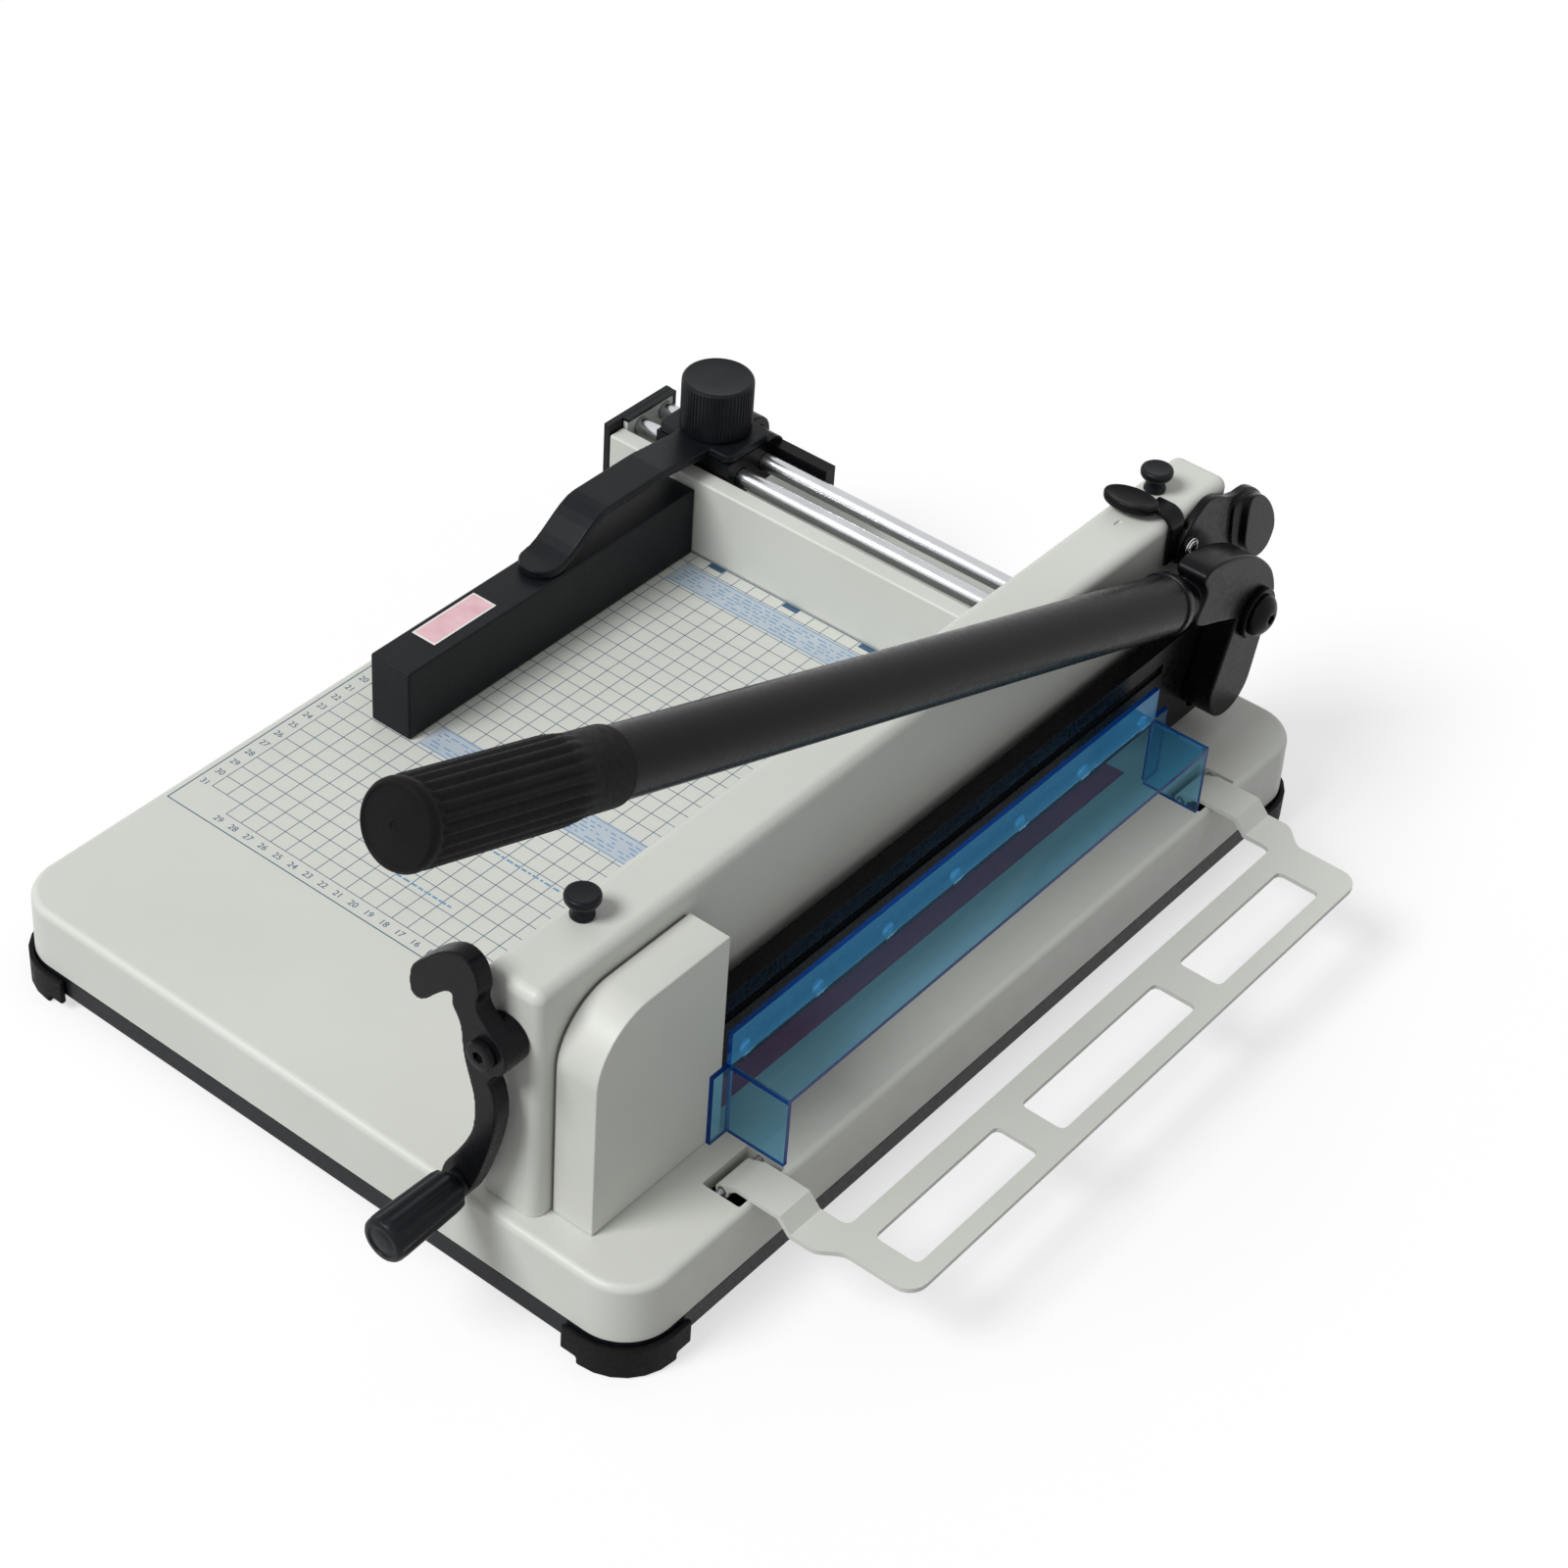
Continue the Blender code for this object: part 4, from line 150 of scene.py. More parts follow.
def acrylic(name, colour, clear, rough):
    """Clear tinted sheet with faint handling marks."""
    made, nodes, links, shader = new_material(name)
    smear = object_noise(nodes, links, 30.0, 4.0, (1, 0.25, 1))
    tone = ramp(nodes, links, smear.outputs["Fac"], 0.0, 1.0)
    deeper = tuple(part * SMEAR_TINT for part in colour)
    links.new(colour_mix(nodes, links, tone, colour, deeper), shader.inputs["Base Color"])
    links.new(ramp(nodes, links, smear.outputs["Fac"], rough * 0.6, rough * 1.6), shader.inputs["Roughness"])
    shader.inputs["Transmission Weight"].default_value = clear
    shader.inputs["IOR"].default_value = GUARD_IOR
    return made


CREAM = surface("cream_enamel", (0.66, 0.675, 0.63), (0.615, 0.63, 0.585), 0.42, 0.06, 900.0, 0.00004,
                specular=0.45)
LOOKS = {
    "cream_paint": CREAM,
    "black_enamel": surface("black_enamel", (0.0038, 0.0040, 0.0048), (0.0060, 0.0063, 0.0076), 0.28, 0.06,
                            700.0, 0.00002, cloud=30.0, specular=0.10),
    # The black plastic's faint blue is partly painted sheen: the blue reflection on its tops, put into the
    # colour
    "black_plastic": surface("black_plastic", (0.0045, 0.0052, 0.0075), (0.0075, 0.0085, 0.0115), 0.38, 0.06,
                             1600.0, 0.00003, cloud=40.0, specular=0.15),
    "rubber": surface("black_rubber", (0.0055, 0.0055, 0.0055), (0.0085, 0.0085, 0.0085), 0.55, 0.08, 1200.0,
                      0.00004, cloud=40.0, specular=0.08),
    "steel": surface("ground_steel", (0.52, 0.52, 0.53), (0.42, 0.42, 0.43), 0.34, 0.1, 260.0, 0.00003,
                     cloud=25.0, metallic=1.0, stretch=(1, 0.04, 6)),
    "chrome": surface("chrome_plate", (0.61, 0.62, 0.64), (0.54, 0.55, 0.57), 0.22, 0.05, 120.0, 0.00001,
                      cloud=40.0, metallic=1.0, stretch=(0.05, 1, 1)),
    "red_plastic": surface("red_stick", (0.55, 0.02, 0.09), (0.44, 0.015, 0.07), 0.45, 0.08, 900.0, 0.00004,
                           cloud=30.0),
    "label_paper": surface("label_print", (0.80, 0.55, 0.58), (0.72, 0.42, 0.47), 0.5, 0.08, 900.0, 0.00002,
                           cloud=120.0),
    "blue_acrylic": acrylic("blue_acrylic", (0.29, 0.66, 0.90), 0.95, 0.03),
}
BLUE_EDGE = acrylic("blue_acrylic_edge", (0.004, 0.05, 0.30), 0.3, 0.2)
BLUE_STRIP = acrylic("blue_acrylic_strip", (0.13, 0.55, 1.0), 0.70, 0.06)
WHITE_PRINT = surface("label_border", (0.86, 0.84, 0.82), (0.80, 0.78, 0.76), 0.5, 0.05, 900.0, 0.00002,
                      cloud=60.0)
INK = surface("scale_ink", (0.03, 0.08, 0.15), (0.05, 0.11, 0.20), 0.5, 0.06, 900.0, 0.00001, cloud=160.0)
BAND_INK = surface("band_ink", (0.10, 0.24, 0.42), (0.20, 0.36, 0.52), 0.5, 0.06, 900.0, 0.00001, cloud=300.0)
BAND_PAPER = surface("band_paper", (0.50, 0.56, 0.62), (0.45, 0.51, 0.58), 0.45, 0.05, 900.0, 0.00001,
                     cloud=60.0)
# Painted shadow: the dark of the seam between the end cover and the beam
SHADOW_LINE = surface("shadow_gap", (0.10, 0.095, 0.085), (0.16, 0.155, 0.14), 0.7, 0.1, 600.0, 0.00002,
                      cloud=60.0)

for entry in frame["record"]["subparts"]:
    node = frame["nodes"][entry["node"]]
    for slot in node.material_slots:
        slot.material = LOOKS[entry["material_slot"]]


# Mesh helpers
def smooth(obj, degrees):
    obj.data.shade_smooth()
    obj.data.set_sharp_from_angle(angle=math.radians(degrees))


def even_shading(obj, keep_sharp, weight=50):
    """Keeps flat faces flat in the shading."""
    step = obj.modifiers.new("even", "WEIGHTED_NORMAL")
    step.keep_sharp = keep_sharp
    step.weight = weight


def edge_bevel(obj, width, segments=3, degrees=32):
    """Rounds the edges by a bevel that stays live."""
    step = obj.modifiers.new("edge", "BEVEL")
    step.width = width * MM
    step.segments = segments
    step.limit_method = "ANGLE"
    step.angle_limit = math.radians(degrees)
    step.miter_outer = "MITER_ARC"
    even_shading(obj, False, 80)


def from_bmesh(name, bm):
    bmesh.ops.recalc_face_normals(bm, faces=bm.faces)
    mesh = bpy.data.meshes.new(name)
    bm.to_mesh(mesh)
    bm.free()
    obj = bpy.data.objects.new(name, mesh)
    bpy.context.scene.collection.objects.link(obj)
    return obj


def piece(obj, body, slot, nodes=(), look=None):
    """Gives a piece the material of its slot or the look given, hangs it on its body and hides the nodes that
    it stands for.
    """
    obj.data.materials.clear()
    obj.data.materials.append(look or LOOKS[slot])
    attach(obj, body)
    if nodes:
        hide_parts(*nodes)
    return obj


def copied(node):
    """A welded copy of a node's mesh with its flat faces whole again."""
    bm = bmesh.new()
    bm.from_mesh(frame["nodes"][node].data)
    bmesh.ops.remove_doubles(bm, verts=bm.verts, dist=0.002 * MM)
    for edge in bm.edges:
        edge.smooth = True
    bmesh.ops.dissolve_limit(bm, angle_limit=math.radians(0.6), verts=bm.verts, edges=bm.edges)
    return from_bmesh(node + "_shown", bm)


def refined(node, body, slot, width, segments=3, degrees=32):
    """Stands for a node with its own shape and rounded edges."""
    obj = copied(node)
    smooth(obj, 180)
    edge_bevel(obj, width, segments, degrees)
    return piece(obj, body, slot, [node])


def softened(obj, voxel, rounds):
    """Melts a shape into one closed casting with every edge softly rounded."""
    remesh = obj.modifiers.new("voxels", "REMESH")
    remesh.mode = "VOXEL"
    remesh.voxel_size = voxel * MM
    remesh.use_smooth_shade = True
    relax = obj.modifiers.new("relax", "SMOOTH")
    relax.factor = 0.5
    relax.iterations = rounds
    return obj


def merged(solids):
    """One mesh that holds several closed solids."""
    bm = bmesh.new()
    for solid in solids:
        bmesh.ops.recalc_face_normals(solid, faces=solid.faces)
        mesh = bpy.data.meshes.new("solid")
        solid.to_mesh(mesh)
        solid.free()
        bm.from_mesh(mesh)
        bpy.data.meshes.remove(mesh)
    return bm


def cast_solids(name, solids, body, slot, nodes, voxel, rounds):
    """Stands for a casting: overlapping closed solids, melted into one."""
    return piece(softened(from_bmesh(name, merged(solids)), voxel, rounds), body, slot, nodes)


def filleted(points, radius, steps, closed=True):
    """Rounds the corners of an outline."""
    out = []
    count = len(points)
    for index in range(count):
        here = np.array(points[index], float)
        if not closed and index in (0, count - 1):
            out.append(tuple(here))
            continue
        before = np.array(points[index - 1], float)
        after = np.array(points[(index + 1) % count], float)
        ends = []
        for other in (before, after):
            length = np.linalg.norm(other - here)
            ends.append(here + (other - here) / length * min(radius, 0.48 * length))
        start, end = ends
        for step in range(steps + 1):
            share = step / steps
            out.append(tuple((1 - share) ** 2 * start + 2 * share * (1 - share) * here + share ** 2 * end))
    return out


def spline(points, steps=5):
    """A closed smooth outline through points."""
    out = []
    count = len(points)
    for index in range(count):
        p0, p1, p2, p3 = (np.array(points[(index + k) % count], float) for k in (-1, 0, 1, 2))
        for step in range(steps):
            t = step / steps
            out.append(tuple(0.5 * (2 * p1 + (p2 - p0) * t + (2 * p0 - 5 * p1 + 4 * p2 - p3) * t * t
                                    + (3 * p1 - p0 - 3 * p2 + p3) * t ** 3)))
    return out


def loft(rings):
    """A closed solid through rings of points with equal counts."""
    bm = bmesh.new()
    rows = [[bm.verts.new(point) for point in ring] for ring in rings]
    for lower, upper in zip(rows, rows[1:]):
        for index in range(len(lower)):
            after = (index + 1) % len(lower)
            bm.faces.new((lower[index], lower[after], upper[after], upper[index]))
    bm.faces.new(rows[0])
    bm.faces.new(rows[-1])
    return bm


def on_axis(axis, pair, depth):
    """A table place in millimetres from a pair across an axis and a depth along it."""
    a, b = pair
    return at(*{"X": (depth, a, b), "Y": (a, depth, b), "Z": (a, b, depth)}[axis])


def prism(outline, axis, low, high):
    return loft([[on_axis(axis, pair, depth) for pair in outline] for depth in (low, high)])


def box_mesh(low, high):
    (x0, y0, z0), (x1, y1, z1) = low, high
    return prism([(x0, y0), (x1, y0), (x1, y1), (x0, y1)], "Z", z0, z1)


def carve(obj, bm):
    """Cuts a solid out of a piece and applies the cut."""
    tool = from_bmesh(obj.name + "_tool", bm)
    step = obj.modifiers.new("cut", "BOOLEAN")
    step.operation = "DIFFERENCE"
    step.solver = "EXACT"
    step.object = tool
    bpy.context.view_layer.update()
    shaped = bpy.data.meshes.new_from_object(obj.evaluated_get(bpy.context.evaluated_depsgraph_get()))
    obj.modifiers.clear()
    obj.data = shaped
    bpy.data.objects.remove(tool, do_unlink=True)


def arc(centre, radius, from_deg, to_deg, steps):
    """Points on an arc, both ends included."""
    points = []
    for index in range(steps + 1):
        angle = math.radians(from_deg + (to_deg - from_deg) * index / steps)
        points.append((centre[0] + radius * math.cos(angle), centre[1] + radius * math.sin(angle)))
    return points


def rounded_rectangle(low, high, radius, steps):
    """An outline that starts at the corner of high X and low Y and goes round towards high Y."""
    (x0, y0), (x1, y1) = low, high
    points = []
    for centre, start in (((x1 - radius, y0 + radius), -90), ((x1 - radius, y1 - radius), 0),
                          ((x0 + radius, y1 - radius), 90), ((x0 + radius, y0 + radius), 180)):
        points += arc(centre, radius, start, start + 90, steps)
    return points


def turned(profile, start, direction, count):
    """Revolves (distance, radius, form) about an axis; form is None, "hex" or (number, depth) for flutes."""
    start = Vector(start)
    direction = Vector(direction).normalized()
    side = direction.orthogonal().normalized()
    other = direction.cross(side)
    rings = []
    for entry in profile:
        distance, radius = entry[:2]
        form = entry[2] if len(entry) > 2 else None
        ring = []
        for index in range(count):
            angle = 2 * math.pi * index / count
            here = radius
            if form == "hex":
                turn = (angle % (math.pi / 3)) - math.pi / 6
                here = radius * math.cos(math.pi / 6) / math.cos(turn)
            elif form:
                number, depth = form
                here = radius - depth * (0.5 - 0.5 * math.cos(number * angle)) ** 1.5
            ring.append(start + direction * distance * MM
                        + (side * math.cos(angle) + other * math.sin(angle)) * here * MM)
        rings.append(ring)
    return loft(rings)


def lathe(name, profile, start, direction, body, slot, nodes, count, sharp=40):
    obj = from_bmesh(name, turned(profile, start, direction, count))
    smooth(obj, sharp)
    return piece(obj, body, slot, nodes)


# Base: painted shell, black tray, rubber feet and the red stick
BASE_X, BASE_Y, CORNER_R, EDGE_R, SHELL_H = 388.0, 528.0, 26.0, 4.0, 33.0
SHELL_WALL, SHELL_TOP, LIP = 3.0, 9.0, 0.5
STICK_CHANNEL = (129.2, -168.3, -6.3), (144.8, 168.3, 4)
RACK_ARMS_Y, RACK_SLOT_X, RACK_SLOT_HALF, RACK_SLOT_DEEP = (-173.7, 184.8), (169.0, 190.0), 15.8, 13
RACK_PIN_X, RACK_PIN_Z, RACK_PIN_R, RACK_PIN_HALF = 176.0, -4.0, 2.1, 19.8
CLEAR, SEAM = 4, 0.02


def base_outline(inset, steps=20):
    half_x, half_y = BASE_X / 2 - inset, BASE_Y / 2 - inset
    return rounded_rectangle((-half_x, -half_y), (half_x, half_y), CORNER_R - inset, steps)


def base_shell():
    rings = [[at(a, b, -SHELL_H) for a, b in base_outline(0)]]
    for index in range(9):
        angle = math.radians(90 * index / 8)
        inset = LIP + EDGE_R * (1 - math.cos(angle))
        height = EDGE_R * (math.sin(angle) - 1)
        rings.append([at(a, b, height) for a, b in base_outline(inset)])
    shell = from_bmesh("base_shell_shown", loft(rings))
    hollow = base_outline(SHELL_WALL, 8)
    carve(shell, loft([[at(a, b, z) for a, b in hollow] for z in (-SHELL_H - CLEAR, -SHELL_TOP)]))
    carve(shell, box_mesh(*STICK_CHANNEL))
    x0, x1 = RACK_SLOT_X
    for middle in RACK_ARMS_Y:
        y0, y1 = middle - RACK_SLOT_HALF, middle + RACK_SLOT_HALF
        slot = filleted([(x0, y0), (x1, y0), (x1, y1), (x0, y1)], 1.2, 3)
        carve(shell, prism(slot, "Z", -RACK_SLOT_DEEP, CLEAR))
        pin_hole = [(-RACK_PIN_HALF, RACK_PIN_R), (RACK_PIN_HALF, RACK_PIN_R)]
        carve(shell, turned(pin_hole, at(RACK_PIN_X, middle, RACK_PIN_Z), (0, 1, 0), 16))
    smooth(shell, 30)
    even_shading(shell, True)
    piece(shell, "base", "cream_paint", ["base_shell"])


base_shell()
refined("bottom_tray", "base", "black_plastic", 0.8)
for corner in ("foot_rear_near", "foot_front_near", "foot_rear_far", "foot_front_far"):
    refined(corner, "base", "rubber", 0.9)
refined("cutting_stick", "base", "red_plastic", 0.4)


# Beam, its end cover and the fence
COVER_TOP, COVER_NEAR, COVER_BEND, COVER_BEND_R = 116.4, -244.4, (-213.0, 85.0), 31.4
SHADOW_STRIP_W, SHADOW_STRIP_T, GAP_CUT = 1.6, 1.4, 1.1


def cover():
    """The end cover, with a dark strip of painted shadow in the seam where it meets the beam."""
    low, high = local_box("end_cover")
    shown = copied("end_cover")
    carve(shown, box_mesh((low.x - CLEAR, low.y - CLEAR, low.z - CLEAR),
                          (low.x + GAP_CUT, high.y + CLEAR, high.z + CLEAR)))
    smooth(shown, 180)
    edge_bevel(shown, 0.7)
    piece(shown, "base", "cream_paint", ["end_cover"])
    # A thin dark strip behind the cover's back edge is painted shadow, the seam's shade drawn as a piece
    foot, end_y = low.z + 0.1, high.y - 2.0
    outline = [(COVER_NEAR, foot)] + arc(COVER_BEND, COVER_BEND_R, 180, 90, 16)
    outline += [(end_y, COVER_TOP), (end_y, COVER_TOP - SHADOW_STRIP_W)]
    outline += arc(COVER_BEND, COVER_BEND_R - SHADOW_STRIP_W, 90, 180, 16) + [(COVER_NEAR + SHADOW_STRIP_W, foot)]
    painted_shadow_strip = from_bmesh("cover_gap_shadow", prism(outline, "X", low.x + SEAM, low.x + SHADOW_STRIP_T))
    piece(painted_shadow_strip, "base", "cream_paint", look=SHADOW_LINE)


cover()
refined("side_fence", "base", "cream_paint", 0.5, 2, 50)
refined("rod_end_plate", "base", "cream_paint", 0.4, 2)
refined("rod_end_cap", "base", "black_plastic", 0.7)
refined("rod_front_block", "base", "black_plastic", 0.8)


BEAM_EDGE_R, BEAM_SHEET = 5.8, 2.2
WINDOW_Y, WINDOW_Z = (-162.0, 161.5), 48.0
CRANK_Z, CRANK_BORE_R = 101.0, 6.6
SLANT_Y, SLANT_Z, SLANT_R, LINK_REACH, HALF_SWING = (-186.0, 212.0), 52.0, 5.6, (11.0, 48.0), 32.5
MARK_X, MARK_Y, MARK_DEEP = (110.9, 113.1), (180.0, 185.5), 0.9


def beam():
    """The beam housing: a rounded box, hollow from below, with its window, crank bore, slanted slots and
    mark.
    """
    low, high = local_box("beam_housing")

    def ring(inset, height, wall=0.0):
        edge = inset + wall
        radius = max(BEAM_EDGE_R - edge, 0.4)
        outline = rounded_rectangle((low.x + edge, low.y + edge), (high.x - edge, high.y - edge), radius, 8)
        return [at(a, b, height) for a, b in outline]

    rings = [ring(0, low.z)]
    for index in range(9):
        angle = math.radians(90 * index / 8)
        height = high.z - BEAM_EDGE_R + BEAM_EDGE_R * math.sin(angle)
        rings.append(ring(BEAM_EDGE_R * (1 - math.cos(angle)), height))
    housing = from_bmesh("beam_housing_shown", loft(rings))
    carve(housing, loft([ring(0, low.z - CLEAR, BEAM_SHEET), ring(0, high.z - BEAM_EDGE_R, BEAM_SHEET),
                         ring(BEAM_EDGE_R / 2, high.z - BEAM_SHEET, BEAM_SHEET)]))
    carve(housing, box_mesh((low.x - CLEAR, WINDOW_Y[0], low.z - CLEAR),
                            (high.x + CLEAR, WINDOW_Y[1], WINDOW_Z)))
    bore = [(0, CRANK_BORE_R), (10, CRANK_BORE_R)]
    carve(housing, turned(bore, at((low.x + high.x) / 2, low.y - CLEAR, CRANK_Z), (0, 1, 0), 32))
    link_y, link_z = LINK_REACH
    stroke = 2 * math.hypot(link_y, link_z) * math.sin(math.radians(HALF_SWING))
    slope = math.pi / 2 - math.atan2(link_z, link_y) + math.radians(HALF_SWING)
    lean = math.degrees(math.atan2(math.sin(slope), -math.cos(slope)))
    for start_y in SLANT_Y:
        end = (start_y - stroke * math.cos(slope), SLANT_Z + stroke * math.sin(slope))
        outline = arc(end, SLANT_R, lean - 90, lean + 90, 16)
        outline += arc((start_y, SLANT_Z), SLANT_R, lean + 90, lean + 270, 16)
        carve(housing, prism(outline, "X", high.x - BEAM_SHEET - CLEAR, high.x + CLEAR))
    (x0, x1), (y0, y1) = MARK_X, MARK_Y
    mark = filleted([(x0, y0), (x1, y0), (x1, y1), (x0, y1)], 1.0, 4)
    carve(housing, prism(mark, "Z", high.z - MARK_DEEP, high.z + 1))
    smooth(housing, 30)
    even_shading(housing, True)
    piece(housing, "base", "cream_paint", ["beam_housing"])


beam()


# Blade group
refined("blade_carrier", "carrier", "black_enamel", 0.5, 2)
refined("press_plate", "press", "black_enamel", 0.5, 2)
BOLT_PROFILE = [(0, 2.4), (14.3, 2.4), (14.3, 4.1), (14.6, 4.2), (15.3, 4.15), (16.0, 3.7), (16.4, 3.0),
                (16.5, 2.2), (15.2, 1.9, "hex"), (15.2, 0.3, "hex")]
for number in range(1, 8):
    low, high = local_box("blade_bolt_%d" % number)
    lathe("blade_screw_%d" % number, BOLT_PROFILE, at(low.x, (low.y + high.y) / 2, (low.z + high.z) / 2),
          (1, 0, 0), "carrier", "chrome", ["blade_bolt_%d" % number], 36)


# Lever: head, neck collar, tube and ribbed grip
PIVOT_X, PIVOT_Y, PIVOT_Z = 150.0, 242.0, 70.0
TUBE_OFFSET = 10.0
LEAN = math.radians(20.0)
ALONG = Vector((0, -math.cos(LEAN), math.sin(LEAN)))
RISE = Vector((0, math.sin(LEAN), math.cos(LEAN)))
TUBE_AXIS = at(PIVOT_X, PIVOT_Y, PIVOT_Z) + RISE * TUBE_OFFSET * MM
TUBE_PROFILE = [(81, 12.9), (81, 14.4), (81.6, 15), (633.5, 15), (633.5, 12.9)]
COLLAR_PROFILE = [(75, 12.2), (75, 14.6), (75.7, 15.5), (76.6, 15.9), (80.4, 15.9), (80.9, 15.3),
                  (80.9, 12.2)]
RIBS = 22
RIB = (RIBS, 1.5)
GRIP_PROFILE = [(519.0, 15.3), (519.0, 16.1), (519.5, 16.45), (521.0, 16.5), (538.0, 16.5), (543.0, 16.9),
                (549.0, 17.8, (RIBS, 0.7)), (553.0, 17.9, RIB), (630.5, 17.9, RIB),
                (632.0, 17.7, (RIBS, 1.0)), (633.0, 17.2), (633.6, 17.2), (634.2, 17.7), (635.4, 17.9),
                (637.0, 17.8), (638.4, 17.2), (639.3, 16.2), (639.4, 15.4), (639.0, 14.9), (639.2, 12.0),
                (639.7, 6.0), (639.8, 2.2), (639.2, 1.6), (639.2, 0.3)]
lathe("lever_tube_shown", TUBE_PROFILE, TUBE_AXIS, ALONG, "lever", "black_enamel", ["lever_tube"], 72)
lathe("tube_collar_shown", COLLAR_PROFILE, TUBE_AXIS, ALONG, "lever", "black_enamel", ["tube_collar"], 72)
lathe("lever_grip_shown", GRIP_PROFILE, TUBE_AXIS, ALONG, "lever", "rubber", ["lever_grip"], RIBS * 8, 28)


def lever_place(along, rise):
    """A (y, z) place from a distance along the lever and a height over its pivot line."""
    return (PIVOT_Y - along * math.cos(LEAN) + rise * math.sin(LEAN),
            PIVOT_Z + along * math.sin(LEAN) + rise * math.cos(LEAN))


def rounded_bar(first, first_r, second, second_r, steps=24):
    """The outline of two circles and the bar that spans them."""
    gap = (second[0] - first[0], second[1] - first[1])
    heading = math.degrees(math.atan2(gap[1], gap[0]))
    lean = math.degrees(math.acos((first_r - second_r) / math.hypot(*gap)))
    return (arc(second, second_r, heading - lean, heading + lean, steps)
            + arc(first, first_r, heading + lean, heading + 360 - lean, steps))


# The outline in shares of its size, along the lever and over its pivot line
HEAD_SIZE = 60.0
HEAD_X, HEAD_ARM_X = (146.1, 163.0), (146.3, 162.8)
HEAD_SHARES = ((1.04, 0.04), (1.04, 0.31), (1.16, 0.44), (1.13, 0.52), (1.02, 0.565), (0.77, 0.595),
               (0.48, 0.58), (0.23, 0.52), (-0.02, 0.405), (-0.16, 0.29), (-0.25, 0.17), (-0.285, 0.05),
               (-0.27, -0.07), (-0.20, -0.18), (0.0, -0.26), (0.15, -0.16), (0.29, -0.03), (0.60, 0.0))
ARM_TOP_R, ARM_FOOT, ARM_FOOT_R = 17.0, (231.0, 31.0), 19.0
NECK_PROFILE = [(20.0, 12.0), (111.0, 12.0)]
head_plate = spline([lever_place(HEAD_SIZE * along, HEAD_SIZE * rise) for along, rise in HEAD_SHARES])
head_arm = rounded_bar((PIVOT_Y, PIVOT_Z), ARM_TOP_R, ARM_FOOT, ARM_FOOT_R)
cast_solids("lever_head_shown", [prism(head_plate, "X", *HEAD_X), prism(head_arm, "X", *HEAD_ARM_X),
                                 turned(NECK_PROFILE, TUBE_AXIS, ALONG, 48)],
            "lever", "black_enamel", ["lever_head"], 0.6, 6)


# Pivot hardware
def cross_x(name, profile, place, slot, node, count=64):
    """A turned piece of the base whose axis runs along X."""
    lathe(name, profile, at(*place), (1, 0, 0), "base", slot, [node], count)


CATCH_Y, CATCH_Z = 215.0, 110.0
WASHER_PROFILE = [(0, 7.3), (0, 13.6), (0.4, 14.0), (2.4, 14.0), (2.9, 13.5), (2.9, 7.3)]
PIVOT_PROFILE = [(0, 7.0), (51.6, 7.0), (51.6, 11.0), (52.0, 11.2), (53.0, 11.15), (54.2, 10.6), (55.4, 9.4),
                 (56.5, 7.8), (57.4, 6.0), (57.9, 4.4), (58.0, 3.4), (57.8, 3.0, "hex"), (55.2, 2.9, "hex"),
                 (55.0, 0.3, "hex")]
CATCH_PIN_PROFILE = [(0, 4.5), (20.9, 4.5), (20.9, 5.4), (21.2, 5.5), (21.7, 5.3), (21.9, 4.3), (22.4, 4.1),
                     (22.5, 3.7), (22.3, 2.0), (21.9, 1.8, "hex"), (21.5, 0.3, "hex")]
cross_x("pivot_washer_shown", WASHER_PROFILE, (163.35, PIVOT_Y, PIVOT_Z), "black_enamel", "pivot_washer")
cross_x("pivot_bolt_shown", PIVOT_PROFILE, (114.9, PIVOT_Y, PIVOT_Z), "black_enamel", "pivot_bolt")
cross_x("catch_pin_shown", CATCH_PIN_PROFILE, (115.1, CATCH_Y, CATCH_Z), "chrome", "catch_pin", 48)


# Clamp crank, its outline in shares of the reach from the hub to the grip
BEAM_MID = 114.25
NEAR_END = -254.5
REACH_X, REACH_Z = 14.0, 85.5
CRANK_SPAN = math.hypot(REACH_X, REACH_Z)
CRANK_SHARES = ((-0.135, -0.094), (-0.097, -0.232), (-0.068, -0.344), (-0.068, -0.511), (-0.103, -0.636),
                (-0.184, -0.795), (-0.256, -0.915), (-0.283, -1.003), (-0.26, -1.07), (-0.20, -1.10),
                (-0.135, -1.09), (-0.052, -0.921), (0.042, -0.615), (0.078, -0.389), (0.057, -0.244),
                (0.03, -0.178), (0.09, -0.08), (0.09, 0.08), (-0.044, 0.244), (-0.036, 0.375),
                (-0.077, 0.49), (-0.17, 0.525), (-0.279, 0.472), (-0.405, 0.346), (-0.47, 0.26),
                (-0.483, 0.162), (-0.468, 0.092), (-0.398, 0.089), (-0.276, 0.215), (-0.213, 0.246),
                (-0.207, 0.18), (-0.157, 0.085))
HUB_PROFILE = [(0.2, 12.0), (15.1, 12.0)]
PLATE_BACK, PLATE_FRONT, SCREW_BACK = NEAR_END - 6.0, NEAR_END - 15.0, NEAR_END - 15.6
TOWARD_USER = (0, -1, 0)
crank_plate = spline([(BEAM_MID + CRANK_SPAN * a, CRANK_Z + CRANK_SPAN * b) for a, b in CRANK_SHARES])
cast_solids("crank_arm_shown", [prism(crank_plate, "Y", PLATE_FRONT, PLATE_BACK),
                                turned(HUB_PROFILE, at(BEAM_MID, NEAR_END, CRANK_Z), TOWARD_USER, 48)],
            "crank", "black_enamel", ["crank_arm"], 0.6, 6)
SCREW_PROFILE = [(0, 7.0), (2.6, 7.0), (3.1, 6.7), (3.3, 5.9), (3.35, 3.3), (3.3, 3.0, "hex"),
                 (1.4, 2.9, "hex"), (1.3, 0.3, "hex")]
